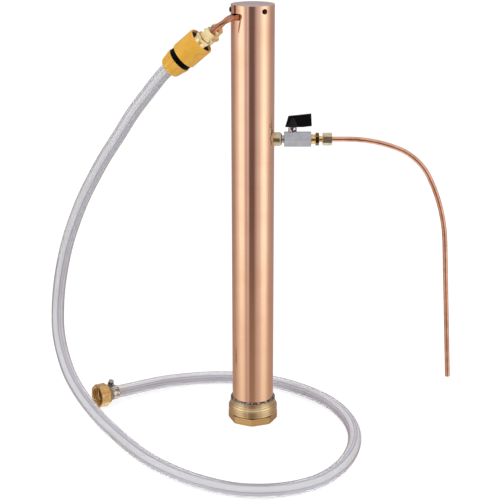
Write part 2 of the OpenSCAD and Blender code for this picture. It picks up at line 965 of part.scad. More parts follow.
bend_count = len(spout_bends);
spout_path = rounded(
    concat(
        [[pipe_stop + 0.1, 0, takeoff_z]],
        [for (n = [0 : bend_count - 1]) spout_corner(n)],
        [
            spout_corner(bend_count - 1)
                + (bend_cut(bend_count - 1) + spout_end) * down(heading_after(bend_count))
        ]
    ),
    [for (bend = spout_bends) bend[0]]
);

module outlet_spout() color(copper) swept_tube(spout_path, pipe_r, pipe_in, pipe_sides);

// ---- Tail couplings ----

module on_front() heading(front_entry, front_az, front_drop) children();
module on_rear() heading(rear_entry, rear_az, rear_drop) children();

module tail_nut() {
    color(brass)
        difference() {
            turned_prism(tail_nut_flats, tail_nut_len - 0.1, 6);
            translate([0, 0, -past]) cylinder(r = pipe_r + slide, h = nut_wall + 2 * past);
            translate([0, 0, nut_wall]) cylinder(r = nut_cavity_r, h = tail_nut_len);
        }
}

module tail_ferrule() {
    color(brass) translate([0, 0, nut_wall + 0.1]) olive();
}

module tail_nipple() {
    thread_from = nut_wall + ferrule_len + 0.2;
    groove_from = claw_from - 0.4;
    color(brass)
        difference() {
            union() {
                translate([0, 0, thread_from])
                    cylinder(r = nipple_thread_r, h = nipple_from - thread_from);
                translate([0, 0, tail_nut_len])
                    turned_prism(nipple_flats, nipple_hex_len, 6, 0.5);
                translate([0, 0, nipple_from - 0.1])
                    cylinder(r = nipple_r, h = oring_at + 1.7 - nipple_from + 0.1);
                translate([0, 0, oring_at])
                    cylinder(r = nipple_tip_r, h = nipple_to - 0.8 - oring_at);
                translate([0, 0, nipple_to - 0.8])
                    cylinder(r1 = nipple_tip_r, r2 = nipple_tip_r - 0.8, h = 0.8);
            }
            translate([0, 0, groove_from])
                ring(nipple_r + past, nipple_r - 1.3, claw_len + 0.8);
            translate([0, 0, oring_at - 1.35])
                ring(nipple_r + past, nipple_r + 0.5 - 2 * oring_r, 2.7);
            translate([0, 0, thread_from - past])
                cylinder(r = pipe_r + slide, h = pipe_end + 0.1 - thread_from + past);
            cylinder(r = pipe_in, h = nipple_from + past);
            translate([0, 0, nipple_from]) cylinder(r = nipple_bore_r, h = nipple_to);
        }
}

module tail_oring() {
    color(black)
        translate([0, 0, oring_at])
            rotate_extrude()
                translate([nipple_r + 0.55 - oring_r, 0]) circle(r = oring_r, $fn = 24);
}

module front_nut() on_front() tail_nut();
module front_ferrule() on_front() tail_ferrule();
module front_nipple() on_front() tail_nipple();
module front_oring() on_front() tail_oring();
module rear_nut() on_rear() tail_nut();
module rear_ferrule() on_rear() tail_ferrule();
module rear_nipple() on_rear() tail_nipple();
module rear_oring() on_rear() tail_oring();

// ---- Quick connector ----

module connector_body() {
    hose_room = hose_r + hose_gap;
    color(black)
        on_front()
            difference() {
                union() {
                    translate([0, 0, body_front]) cylinder(r = head_r, h = head_len);
                    translate([0, 0, body_front])
                        cylinder(r = waist_r, h = shoulder_to - body_front);
                    translate([0, 0, shoulder_from])
                        cylinder(r = head_r, h = shoulder_to - shoulder_from);
                    difference() {
                        translate([0, 0, shoulder_to - past])
                            cylinder(r = tail_thread_r, h = tail_thread_to - shoulder_to + past);
                        translate([0, 0, barb_from])
                            cylinder(r = hose_room, h = tail_thread_to);
                    }
                    translate([0, 0, barb_from - past])
                        cylinder(r = hose_in - 0.15, h = barb_to - 2 - barb_from + past);
                    translate([0, 0, barb_to - 2])
                        cylinder(r1 = hose_in - 0.15, r2 = hose_in - 0.8, h = 2);
                }
                translate([0, 0, body_front - past])
                    cylinder(r = socket_r, h = socket_to - body_front + past);
                translate([0, 0, body_front]) cylinder(r = water_r, h = barb_to);
                for (k = [0 : claw_count - 1])
                    rotate(45 + 360 * k / claw_count)
                        translate([
                            socket_r - past,
                            -claw_w / 2 - claw_fit,
                            claw_from - claw_fit
                        ])
                            cube([
                                head_r - socket_r + 2 * past,
                                claw_w + 2 * claw_fit,
                                claw_len + 2 * claw_fit
                            ]);
            }
}

module connector_claws() {
    color(nickel)
        on_front()
            for (k = [0 : claw_count - 1])
                rotate(45 + 360 * k / claw_count)
                    intersection() {
                        translate([nipple_r - 0.8, -claw_w / 2, claw_from])
                            cube([head_r, claw_w, claw_len]);
                        translate([0, 0, claw_from]) cylinder(r = head_r - 0.1, h = claw_len);
                    }
}

module connector_sleeve() {
    outer_r = sleeve_od / 2;
    inner_r = head_r + slide;
    recess_from = claw_from - sleeve_travel;
    color(amber)
        on_front()
            difference() {
                translate([0, 0, sleeve_from])
                    rotate_extrude()
                        polygon(concat(
                            [[inner_r - 3, 0]],
                            arc([outer_r - sleeve_edge, sleeve_edge], sleeve_edge, -90, 0),
                            arc([outer_r - 0.8, sleeve_len - 0.8], 0.8, 0, 90),
                            [[inner_r - 3, sleeve_len]]
                        ));
                translate([0, 0, sleeve_from - past])
                    cylinder(r = inner_r, h = lip_from - sleeve_from + past);
                translate([0, 0, lip_from - past]) cylinder(r = lip_r, h = lip_len + 2 * past);
                translate([0, 0, lip_from + lip_len])
                    cylinder(r = inner_r, h = sleeve_to - lip_from);
                translate([0, 0, recess_from])
                    cylinder(r = inner_r + 0.6, h = claw_len + 0.2);
                for (k = [0 : dimple_count - 1])
                    rotate(45 + 360 * k / dimple_count)
                        translate([
                            outer_r - dimple_depth + dimple_r,
                            0,
                            sleeve_from + dimple_at
                        ])
                            sphere(r = dimple_r);
            }
}

// Open coil of wire between the sleeve's lip and the body's shoulder
spring_from = lip_from + lip_len + wire_r + 0.1;
spring_rise = shoulder_from - wire_r - 0.1 - spring_from;
spring_steps = 12;
spring_path = [
    for (k = [0 : spring_turns * spring_steps])
        let (a = 360 * k / spring_steps)
        [
            spring_r * cos(a),
            spring_r * sin(a),
            spring_from + spring_rise * k / (spring_turns * spring_steps)
        ]
];

module connector_spring() {
    color(chrome) on_front() swept_tube(spring_path, wire_r, wire_r * 0.2, 6, [1, 0, 0]);
}

module hose_grip() {
    color(white)
        on_front()
            difference() {
                union() {
                    translate([0, 0, grip_from]) cylinder(r = grip_r, h = grip_len / 3);
                    translate([0, 0, grip_from + grip_len / 3])
                        cylinder(r1 = grip_r, r2 = grip_nose_r, h = grip_len * 2 / 3);
                }
                translate([0, 0, grip_from - past])
                    cylinder(r = hose_r + hose_gap, h = grip_len + 2 * past);
                for (k = [0 : grip_slits - 1])
                    rotate(360 * k / grip_slits)
                        translate([0, -0.6, grip_from + 2])
                            cube([grip_r + past, 1.2, grip_len]);
            }
}

module connector_collar() {
    from = shoulder_to + 0.1;
    turn_at = collar_to - 5;
    nose = collar_shoulder_r - collar_nose_r;
    taper = atan((collar_r - collar_shoulder_r) / (turn_at - from));
    color(amber)
        on_front()
            difference() {
                rotate_extrude()
                    polygon(concat(
                        [[hose_r, from], [collar_r - 0.6, from], [collar_r, from + 0.6]],
                        [[collar_shoulder_r, turn_at]],
                        [for (a = [15 : 15 : 90]) [
                            collar_nose_r + nose * cos(a),
                            turn_at + (collar_to - turn_at) * sin(a)
                        ]],
                        [[hose_r, collar_to]]
                    ));
                translate([0, 0, from - past])
                    cylinder(r = tail_thread_r + slide, h = tail_thread_to + 0.4 - from + past);
                translate([0, 0, tail_thread_to])
                    cylinder(r = grip_r + 0.3, h = 1 + grip_len / 3 + 0.2);
                translate([0, 0, grip_from + grip_len / 3 + 0.2])
                    cylinder(r1 = grip_r + 0.3, r2 = grip_nose_r + 0.3, h = grip_len * 2 / 3);
                translate([0, 0, shoulder_to])
                    cylinder(r = hose_r + hose_gap, h = collar_len + past);
                for (k = [0 : collar_flutes - 1])
                    rotate(360 * k / collar_flutes)
                        translate([collar_r + flute_r - flute_depth, 0, from])
                            rotate([0, -taper, 0])
                                translate([0, 0, -past])
                                    cylinder(r = flute_r, h = collar_len + 2 * past);
            }
}

// ---- Hose and its far end ----

hose_path = concat(
    [
        ahead(front_entry, front_az, front_drop, hose_from),
        ahead(front_entry, front_az, front_drop, hose_straight_to)
    ],
    hose_route,
    [
        ahead(mouth, mouth_az, mouth_drop, end_straight),
        ahead(mouth, mouth_az, mouth_drop, hose_stop)
    ]
);

function run_length(path, i = 1) =
    i == len(path) ? 0 : norm(path[i] - path[i - 1]) + run_length(path, i + 1);

echo(hose_length = run_length(hose_path));

module hose() color(vinyl) swept_tube(hose_path, hose_r, hose_in, hose_sides);

module on_mouth() heading(mouth, mouth_az, mouth_drop) children();

module swivel_nut() {
    back_r = swivel_flats / 2 - 2.4;
    color(brass)
        on_mouth()
            difference() {
                union() {
                    intersection() {
                        rotate(22.5)
                            cylinder(d = swivel_flats / cos(22.5), h = swivel_rim, $fn = 8);
                        cylinder(r = swivel_corner_r, h = swivel_rim);
                    }
                    translate([0, 0, swivel_rim - 0.05])
                        cylinder(
                            r1 = swivel_flats / 2 - 0.3,
                            r2 = back_r,
                            h = swivel_len - swivel_rim + 0.05
                        );
                }
                translate([0, 0, -past]) cylinder(d = swivel_bore, h = swivel_cavity_to + past);
                translate([0, 0, -past])
                    cylinder(d1 = swivel_bore + 4, d2 = swivel_bore, h = 1 + past);
                translate([0, 0, washer_from - 0.1])
                    cylinder(r = washer_room_r, h = swivel_cavity_to - washer_from + 0.1);
                cylinder(r = neck_r + 0.3, h = swivel_len + past);
            }
}

module hose_washer() {
    color(black)
        on_mouth()
            translate([0, 0, washer_from])
                ring(washer_room_r - 0.15, water_r + 2, washer_t - 0.02);
}

module hose_barb() {
    ridge_len = 4.5;
    ridges = 5;
    tube_out = hose_in - 0.7;
    color(brass)
        on_mouth()
            difference() {
                union() {
                    translate([0, 0, flange_from]) cylinder(r = flange_r, h = flange_t);
                    translate([0, 0, flange_from])
                        cylinder(r = neck_r, h = hose_stop - 0.1 - flange_from);
                    translate([0, 0, flange_from])
                        cylinder(r = tube_out, h = barb_tail - flange_from);
                    for (k = [0 : ridges - 1])
                        translate([0, 0, barb_tail - (k + 1) * ridge_len])
                            cylinder(r1 = hose_in - 0.05, r2 = tube_out - 0.1, h = ridge_len);
                }
                translate([0, 0, flange_from - past]) cylinder(r = water_r, h = barb_tail);
            }
}

module clamp_band() {
    color(chrome)
        on_mouth()
            translate([0, 0, band_at - band_w / 2])
                ring(hose_r + hose_gap + band_t, hose_r + hose_gap, band_w);
}

// Housing astride the band; the worm screw lies across the hose
module on_housing() on_mouth() translate([0, 0, band_at]) rotate(housing_turn) children();

module clamp_housing() {
    seat_r = hose_r + hose_gap + band_t + 0.05;
    color(chrome)
        on_housing()
            difference() {
                union() {
                    translate([hose_r, -5, -band_w / 2 - 0.6])
                        cube([4, 10, band_w + 1.2]);
                    translate([housing_out, 5, 0]) rotate([90, 0, 0]) cylinder(r = 4.1, h = 10);
                }
                translate([0, 0, -band_w]) cylinder(r = seat_r, h = 2 * band_w);
                translate([housing_out, 5 + past, 0])
                    rotate([90, 0, 0]) cylinder(r = worm_r + loose, h = 10 + 2 * past);
            }
}

module clamp_screw() {
    head_w = 7;
    color(chrome)
        on_housing()
            translate([housing_out, 0, 0])
                rotate([-90, 0, 0])
                    difference() {
                        union() {
                            translate([0, 0, -7]) cylinder(r = worm_r, h = 13);
                            translate([0, 0, 5.2]) cylinder(r = 4.3, h = 1);
                            translate([0, 0, 6]) turned_prism(head_w, 5, 6, 0.5);
                        }
                        translate([-0.5, -5, 9.4]) cube([1, 10, 3]);
                    }
}

column_tube();
top_cap();
cap_screws();
base_fitting();
solder_bead();
condenser_coil();
front_tail();
rear_tail();
upper_plate();
lower_plate();
mesh_rolls();
support_screen();
outlet_bushing();
valve_body();
valve_insert();
valve_seats();
valve_ball();
valve_stem();
stem_packing();
stem_nut();
valve_lever();
lever_screw();
spout_adapter();
spout_ferrule();
spout_nut();
outlet_spout();
front_nut();
front_ferrule();
front_nipple();
front_oring();
rear_nut();
rear_ferrule();
rear_nipple();
rear_oring();
connector_body();
connector_sleeve();
connector_spring();
connector_claws();
hose_grip();
connector_collar();
hose();
hose_barb();
swivel_nut();
hose_washer();
clamp_band();
clamp_housing();
clamp_screw();
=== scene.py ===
# %% [markdown]
# # Still column head
# A copper column stands on a brass base fitting. Two thin tails of the coil inside it come out of a
# slot near the top, a small ball valve and a long bent spout leave its side, and a clear hose hangs
# from one tail and loops over the bench. The construction comes in ready-made as a fixed frame in
# metres. This lesson adds the camera, the hose, the smooth bent tubes, the nut's thread and every
# finish.

# %% Load the frame
from math import acos, ceil, cos, pi, radians, sin, tan

import bpy
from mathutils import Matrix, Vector


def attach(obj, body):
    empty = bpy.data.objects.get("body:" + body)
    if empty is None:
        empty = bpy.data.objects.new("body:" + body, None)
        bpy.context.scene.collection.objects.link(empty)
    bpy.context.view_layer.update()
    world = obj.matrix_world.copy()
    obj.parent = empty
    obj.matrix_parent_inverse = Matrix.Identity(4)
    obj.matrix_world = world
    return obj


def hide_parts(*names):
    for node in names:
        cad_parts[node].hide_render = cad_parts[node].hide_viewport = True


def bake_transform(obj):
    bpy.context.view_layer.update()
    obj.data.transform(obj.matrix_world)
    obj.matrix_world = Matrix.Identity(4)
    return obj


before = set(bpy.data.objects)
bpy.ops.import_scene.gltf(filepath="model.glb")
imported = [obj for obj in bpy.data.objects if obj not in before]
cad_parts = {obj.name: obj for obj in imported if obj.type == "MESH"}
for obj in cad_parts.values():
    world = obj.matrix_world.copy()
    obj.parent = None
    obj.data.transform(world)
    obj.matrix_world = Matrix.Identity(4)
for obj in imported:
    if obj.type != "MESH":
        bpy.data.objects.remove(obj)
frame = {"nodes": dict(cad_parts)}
nodes = frame["nodes"]
scene = bpy.context.scene
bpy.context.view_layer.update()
MM = 0.001
print("loaded", len(nodes), "pieces")

# %% [markdown]
# ## Camera
# A product camera stands a little above the object and looks down at it. A long lens keeps the tall
# column's sides nearly parallel. Sizes are the real ones: how far away and how high the camera
# stands, how far it looks down, and its focal length for a 36 mm wide picture.

# %% Camera
CAMERA_DISTANCE = 1.595
CAMERA_HEIGHT = 0.747
LOOK_DOWN = radians(17.8)
SENSOR_WIDTH = 36.0
FOCAL_LENGTH = 93.6
SIDE_SHIFT = -0.0056

lens = bpy.data.cameras.new("camera")
lens.sensor_width = SENSOR_WIDTH
lens.lens = FOCAL_LENGTH
lens.shift_x = SIDE_SHIFT
camera = bpy.data.objects.new("camera", lens)
camera.location = (0, -CAMERA_DISTANCE, CAMERA_HEIGHT)
camera.rotation_euler = (pi / 2 - LOOK_DOWN, 0, 0)
scene.collection.objects.link(camera)
scene.camera = camera
scene.view_settings.view_transform = "Standard"
print("camera", CAMERA_DISTANCE, "m away with a", FOCAL_LENGTH, "mm lens")

# %% [markdown]
# ## Places and headings
# A drawing gives places in millimetres, and the frame is in metres, so one helper turns the first
# into the second. Pieces that leave the column at a slant also need a heading: how far it is turned
# round from +X, and how steeply it drops.

# %% Points and headings
def point(*millimetres):
    """A place in the frame, given in millimetres."""
    return Vector(millimetres) * MM


def heading(turn, drop):
    """The unit vector that is turned round from +X and drops below level."""
    return Vector((cos(drop) * cos(turn), cos(drop) * sin(turn), -sin(drop)))


FRONT_ENTRY = point(-48.61, -31.09, 520.2)
FRONT_WAY = heading(radians(163.1), radians(40.4))
print("front coupling heads", [round(c, 2) for c in FRONT_WAY])

# %% [markdown]
# ## The release spring
# Inside the quick connector a spring holds the sleeve forward. When the sleeve is pulled back, one
# end of the spring goes with it and the other stays, so the coils close up between the two. The
# construction's own mesh has the right shape, and a copy of it stands in for it.

# %% Spring
spring = bpy.data.objects.new("release_spring", nodes["connector_spring"].data.copy())
scene.collection.objects.link(spring)
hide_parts("connector_spring")
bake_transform(spring)

# %% [markdown]
# ## A line through points
# A hose hangs in one smooth curve. The line below runs through every point of its route, which is
# easier to steer than a curve whose handles pull it towards places that it never reaches.

# %% Smooth line
def eased(points, steps):
    """A smooth line through all the points (Catmull-Rom), straight at both ends.

    Between two points it takes some short straight steps."""
    line = []
    for i in range(len(points) - 1):
        a, b = points[i], points[i + 1]
        before = points[i - 1] if i else a - (b - a)
        after = points[i + 2] if i + 2 < len(points) else b + (b - a)
        span = (b - a).length
        leave = (b - before) * span / ((b - a).length + (a - before).length)
        arrive = (after - a) * span / ((after - b).length + (b - a).length)
        for k in range(steps):
            t = k / steps
            line.append(
                a * (2 * t**3 - 3 * t**2 + 1) + leave * (t**3 - 2 * t**2 + t)
                + b * (3 * t**2 - 2 * t**3) + arrive * (t**3 - t**2)
            )
    return [*line, points[-1]]


def line_length(line):
    """How long a line is, step by step."""
    return sum((b - a).length for a, b in zip(line, line[1:]))


square_corner = [point(0, 0, 0), point(10, 0, 0), point(10, 10, 0)]
eased_corner = eased(square_corner, steps=8)
print("a 20 mm corner, eased:", round(line_length(eased_corner) / MM, 1), "mm")

# %% [markdown]
# ## A tube with a wall
# Every tube here is drawn the way a die or a pipe bender makes it: a ring of points is carried
# along a centre line without twisting. A curve object with a bevel would be quicker, but a mesh can
# have a wall and a bore, which a cut end and a clear hose both need.

# %% Rings along a line
def rings_along(line, outer_r, bore_r, sides):
    """The points of a tube: at each place on the line a ring of the outside and one of the bore."""
    ways = [(b - a).normalized() for a, b in zip(line, line[1:])]
    ways = [ways[0], *[(a + b).normalized() for a, b in zip(ways, ways[1:])], ways[-1]]
    across = ways[0].orthogonal().normalized()
    verts = []
    for centre, ahead in zip(line, ways):
        across = (across - ahead * ahead.dot(across)).normalized()
        third = ahead.cross(across)
        for r in (outer_r, bore_r):
            for k in range(sides):
                a = 2 * pi * k / sides
                verts.append(centre + r * (across * cos(a) + third * sin(a)))
    return verts


def wall_faces(verts, sides):
    """The faces of both walls, and of two cut ends.

    The cut ends get rings of their own, added to verts, so that their edges stay crisp."""
    outer = range(0, len(verts), 2 * sides)
    bore = [start + sides for start in outer]
    faces = []
    for wall, outward in ((outer, True), (bore, False)):
        for a, b in zip(wall, wall[1:]):
            for k in range(sides):
                n = (k + 1) % sides
                quad = (a + k, a + n, b + n, b + k)
                faces.append(quad if outward else quad[::-1])
    for outside, inside, first in ((outer[0], bore[0], True), (outer[-1], bore[-1], False)):
        start = len(verts)
        verts += [Vector(verts[ring + k]) for ring in (outside, inside) for k in range(sides)]
        for k in range(sides):
            n = (k + 1) % sides
            quad = (start + k, start + sides + k, start + sides + n, start + n)
            faces.append(quad if first else quad[::-1])
    return faces


short_tube = rings_along([point(0, 0, 0), point(10, 0, 0)], 2 * MM, 1 * MM, sides=8)
print("a straight tube of 8 sides has", len(wall_faces(short_tube, sides=8)), "faces")

# %% Tube
def tube(name, line, outer_r, bore_r, body, stands_for=(), sides=32):
    """An open tube with a wall, riding on a body in place of some of the frame's pieces.

    Each point also knows its direction round the tube, for painted bands that follow the length."""
    verts = rings_along(line, outer_r, bore_r, sides)
    faces = wall_faces(verts, sides)
    mesh = bpy.data.meshes.new(name)
    mesh.from_pydata(verts, [], faces)
    mesh.update()
    mesh.shade_smooth()
    turns = [2 * pi * k / sides for k in range(sides)]
    once = [c for a in turns for c in (cos(a), sin(a), 0.0)]
    around = mesh.attributes.new("around", "FLOAT_VECTOR", "POINT")
    around.data.foreach_set("vector", once * (len(verts) // sides))
    piece = bpy.data.objects.new(name, mesh)
    scene.collection.objects.link(piece)
    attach(piece, body)
    if stands_for:
        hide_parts(*stands_for)
    print(name, len(verts), "points,", round(line_length(line) / MM), "mm along its middle")
    return piece


# %% [markdown]
# ## The hose
# The hose is clear flexible vinyl, 17 mm outside with a 12.5 mm bore. It leaves the quick connector
# straight, hangs down in one long curve, lies on the bench in a loop round the column's foot and
# ends on the brass hose tail. Its route is a list of points, given where it touches down and turns,
# and the smooth line runs through them all.

# %% Hose
MOUTH = point(-212, 31, 15.8)
MOUTH_WAY = heading(radians(36), radians(3.1))
HOSE_R = 8.5 * MM
HOSE_BORE_R = 6.25 * MM
HOSE_FROM = 59.85 * MM
HOSE_STRAIGHT_TO = 82 * MM
END_STRAIGHT = 55 * MM
HOSE_STOP = 20 * MM
HOSE_STEPS = 12
HOSE_SIDES = 40

hose_start = FRONT_ENTRY + FRONT_WAY * HOSE_FROM
hose_route = [
    hose_start,
    FRONT_ENTRY + FRONT_WAY * HOSE_STRAIGHT_TO,
    *[point(*p) for p in (
        (-129, -2, 441), (-150, 6, 413), (-169, 14, 383), (-189, 25, 352), (-206, 36, 322),
        (-222, 47, 291), (-236, 57, 258), (-248, 66, 225), (-257, 71, 191), (-263, 72, 159),
        (-266, 69, 127), (-265, 59, 99), (-258, 43, 73), (-245, 18, 51), (-225, -9, 31),
        (-201, -37, 15), (-179, -66, 8.6), (-158, -101, 8.6), (-130, -141, 8.6),
        (-96, -176, 8.6), (-56, -205, 8.6), (-12, -222, 8.6), (36, -220, 8.6), (77, -200, 8.6),
        (107, -163, 8.6), (125, -117, 8.6), (131, -70, 8.6), (125, -23, 8.6), (106, 24, 8.6),
        (75, 62, 8.6), (36, 92, 8.6), (-8, 108, 8.6), (-52, 112, 8.6), (-94, 105, 9),
        (-129, 90, 10.6),
    )],
    MOUTH + MOUTH_WAY * END_STRAIGHT,
    MOUTH + MOUTH_WAY * HOSE_STOP,
]
hose_line = eased(hose_route, HOSE_STEPS)
hose = tube("clear_hose", hose_line, HOSE_R, HOSE_BORE_R, "column", ["hose"], HOSE_SIDES)

# %% [markdown]
# ## Thread in the hose nut
# The swivel nut has a coarse thread inside its mouth. The construction has a plain bore there, so
# a thin ridge is wound along the bore's wall: a helix of the thread's own pitch. Cutting the groove
# out of the nut would take far more faces for the same look.

# %% Thread ridge
THREAD_R = 12.15 * MM
THREAD_PITCH = 2.2 * MM
THREAD_FROM, THREAD_TO = 1.3 * MM, 8.9 * MM
RIDGE_R = 0.6 * MM
RIDGE_BORE_R = 0.1 * MM
POINTS_A_TURN = 40

across = MOUTH_WAY.orthogonal().normalized()
third = MOUTH_WAY.cross(across)
helix = []
for k in range(int((THREAD_TO - THREAD_FROM) / THREAD_PITCH * POINTS_A_TURN) + 1):
    a = 2 * pi * k / POINTS_A_TURN
    out = (across * cos(a) + third * sin(a)) * THREAD_R
    helix.append(MOUTH + MOUTH_WAY * (THREAD_FROM + THREAD_PITCH * k / POINTS_A_TURN) + out)
nut_thread = tube("hose_nut_thread", helix, RIDGE_R, RIDGE_BORE_R, "hose_nut", sides=10)
print("thread ridge", len(helix), "points")

# %% [markdown]
# ## Bent copper tubes
# The spout and the coil's two tails are 1/4 inch copper tube, bent by hand over a former. A bender
# works from corner to corner: it marks where the straight stretches would meet, and rounds each
# corner to the former's radius. The centre lines here are drawn the same way.

# %% Rounded line
BEND_STEP = radians(4)
TOUCHING = 0.01 * MM


def rounded(corners, bends):
    """The line through some corners, each inner one rounded to its own bend radius.

    A bend that runs straight into the next would repeat a point, so repeats are left out."""
    line = [corners[0]]
    for before, corner, after, bend in zip(corners, corners[1:], corners[2:], bends):
        into, out = (corner - before).normalized(), (after - corner).normalized()
        turn = acos(into.dot(out))
        side = (out - into * into.dot(out)).normalized()
        start = corner - into * bend * tan(turn / 2)
        steps = max(2, ceil(turn / BEND_STEP))
        for k in range(steps + 1):
            a = turn * k / steps
            line.append(start + bend * (into * sin(a) + side * (1 - cos(a))))
    line.append(corners[-1])
    return [p for i, p in enumerate(line) if not i or (p - line[i - 1]).length > TOUCHING]


rounded_corner = rounded(square_corner, [8 * MM])
print("the same corner, rounded to 8 mm:", round(line_length(rounded_corner) / MM, 1), "mm")

# %% [markdown]
# ## Spout
# The spout's three bends have different radii, so its curve tightens and opens again as it turns
# down. It is drawn like a pen's path: straight on, turn, and on again. Its bends are given as a
# radius in millimetres and a turn in degrees.

# %% Spout
PIPE_R = 3.175 * MM
PIPE_BORE_R = 2.375 * MM
TAKEOFF_Z = 381
SPOUT_FROM = 84.1
SPOUT_BEND_FROM = 119.3
SPOUT_END = 187
SPOUT_BENDS = ((171, 21.8), (78, 40.9), (218, 23.7))

corners = [point(SPOUT_FROM, 0, TAKEOFF_Z)]
pen = point(SPOUT_BEND_FROM, 0, TAKEOFF_Z)
turned = 0.0
for bend, turn in SPOUT_BENDS:
    setback = bend * MM * tan(radians(turn) / 2)
    corners.append(pen + heading(0, turned) * setback)
    turned += radians(turn)
    pen = corners[-1] + heading(0, turned) * setback
corners.append(pen + heading(0, turned) * SPOUT_END * MM)
spout_line = rounded(corners, [bend * MM for bend, _ in SPOUT_BENDS])
spout = tube("spout_tube", spout_line, PIPE_R, PIPE_BORE_R, "column", ["outlet_spout"])
print("spout ends at", [round(c / MM, 1) for c in corners[-1]])

# %% [markdown]
# ## Coil tails
# The coil's two ends rise inside the column, come level out of the slot and turn down into their
# couplings. Each riser stands where its end of the coil is, one up the middle and one beside it.

# %% Coil tails
SLOT_Z = 535 * MM
TAIL_FOOT_Z = 516 * MM
TAIL_END = 12 * MM
RISER_BEND = 9 * MM
SUPPLY_RISER, SUPPLY_BEND = (0, 0), 20 * MM
RETURN_RISER, RETURN_BEND = (-9 * MM, 2 * MM), 8.5 * MM
REAR_ENTRY = point(-42.25, -1.99, 519.8)
REAR_WAY = heading(radians(139), radians(40))


def tail(name, riser, entry, way, bend, stands_for):
    """One end of the coil: up inside the column, level through the slot, down into its nut."""
    x, y = riser
    level = entry + way * (SLOT_Z - entry.z) / way.z
    foot, top = Vector((x, y, TAIL_FOOT_Z)), Vector((x, y, SLOT_Z))
    line = rounded([foot, top, level, entry + way * TAIL_END], [RISER_BEND, bend])
    return tube(name, line, PIPE_R, PIPE_BORE_R, "column", [stands_for])


supply_tail = tail(
    "supply_tail", SUPPLY_RISER, FRONT_ENTRY, FRONT_WAY, SUPPLY_BEND, "front_tail"
)
return_tail = tail(
    "return_tail", RETURN_RISER, REAR_ENTRY, REAR_WAY, RETURN_BEND, "rear_tail"
)

# %% [markdown]
# ## Colours and nodes
# Colours are written as sRGB hex, the way a paint chart or a drawing program gives them. Shaders
# work in linear light, so one function converts them. A second small function adds a node with its
# settings and links, which keeps each material short enough to read as a recipe. A socket is called
# by its label, or by its number where a node has two with the same label.

# %% Colour and node helpers
def linear(code):
    """An sRGB hex colour as linear RGBA."""
    parts = [int(code[i:i + 2], 16) / 255 for i in (1, 3, 5)]
    return (*[c / 12.92 if c <= 0.04045 else ((c + 0.055) / 1.055) ** 2.4 for c in parts], 1.0)


def node(tree, kind, inputs=None, stops=None, **settings):
    """Adds a node; inputs are values or sockets to link, stops are a colour ramp's."""
    new = tree.nodes.new("ShaderNode" + kind)
    for key, value in settings.items():
        setattr(new, key, value)
    for key, value in (inputs or {}).items():
        if isinstance(value, bpy.types.NodeSocket):
            tree.links.new(value, new.inputs[key])
        else:
            new.inputs[key].default_value = value
    if stops:
        ramp = new.color_ramp.elements
        while len(ramp) < len(stops):
            ramp.new(1.0)
        for stop, (position, colour) in zip(ramp, stops):
            stop.position = position
            stop.color = linear(colour)
    return new


def blank(name):
    """A new material and its empty node tree."""
    material = bpy.data.materials.new(name)
    material.use_nodes = True
    material.node_tree.nodes.clear()
    return material, material.node_tree


print("mid grey #808080 is", round(linear("#808080")[0], 3), "in linear light")

# %% [markdown]
# ## Tool lines
# What tells one metal from another is its colour, how rough it is, and the marks of its making.
# The tool comes first: a lathe leaves rings square to the axis it turned on, and drawing a tube
# through a die leaves lines along it. Noise that only changes along one direction draws both, and
# needs no unwrapping as a painted texture would. Real lines are 0.1 to 0.2 mm wide, too fine to
# show from here, so each metal draws them as coarse as they need to show, 0.4 to 2 mm.

# %% Tool lines
AXES = {
    "column": (Vector((0, 0, 0)), Vector((0, 0, 1))),
    "takeoff": (point(0, 0, TAKEOFF_Z), Vector((1, 0, 0))),
    "front": (FRONT_ENTRY, FRONT_WAY),
    "rear": (REAR_ENTRY, REAR_WAY),
    "mouth": (MOUTH, MOUTH_WAY),
}
DRAWN_OUT = 0.985


def tool_lines(tree, axis, width, drawn=False):
    """Fine lines, each about width wide, and the place along the axis.

    They are rings square to the axis. On drawn metal they run along it instead: DRAWN_OUT is the
    share of the distance along the axis that is taken out, which stretches the noise."""
    start, way = AXES[axis]
    place = node(tree, "TexCoord").outputs["Object"]
    offset = node(tree, "VectorMath", {0: place, 1: start}, operation="SUBTRACT")
    along = node(tree, "VectorMath", {0: offset.outputs[0], 1: way}, operation="DOT_PRODUCT")
    if not drawn:
        rings = node(
            tree, "TexNoise", {"W": along.outputs["Value"], "Scale": 1 / width, "Detail": 3.0},
            noise_dimensions="1D",
        )
        return rings.outputs["Fac"], along.outputs["Value"]
    shift = node(
        tree, "VectorMath", {0: tuple(way), "Scale": along.outputs["Value"]}, operation="SCALE"
    )
    taken = node(
        tree, "VectorMath", {0: shift.outputs[0], "Scale": DRAWN_OUT}, operation="SCALE"
    )
    squeezed = node(
        tree, "VectorMath", {0: offset.outputs[0], 1: taken.outputs[0]}, operation="SUBTRACT"
    )
    lines = node(
        tree, "TexNoise", {"Vector": squeezed.outputs[0], "Scale": 1 / width, "Detail": 2.0}
    )
    return lines.outputs["Fac"], along.outputs["Value"]


print("tool lines can follow", len(AXES), "axes:", *AXES)

# %% [markdown]
# ## Stained and shaded zones
# Some fittings aren't one colour from end to end. The base fitting's octagon is yellower than the
# turned socket above it, with a dark ring of painted shade in the groove between them, and the
# adapter's hexagon is painted dark, a painted reflection of the dark room. A zone is a stretch
# along the piece's own axis, so it needs no painting by hand.

# %% Stained and shaded zones
ZONE_FADE = 0.25 * MM


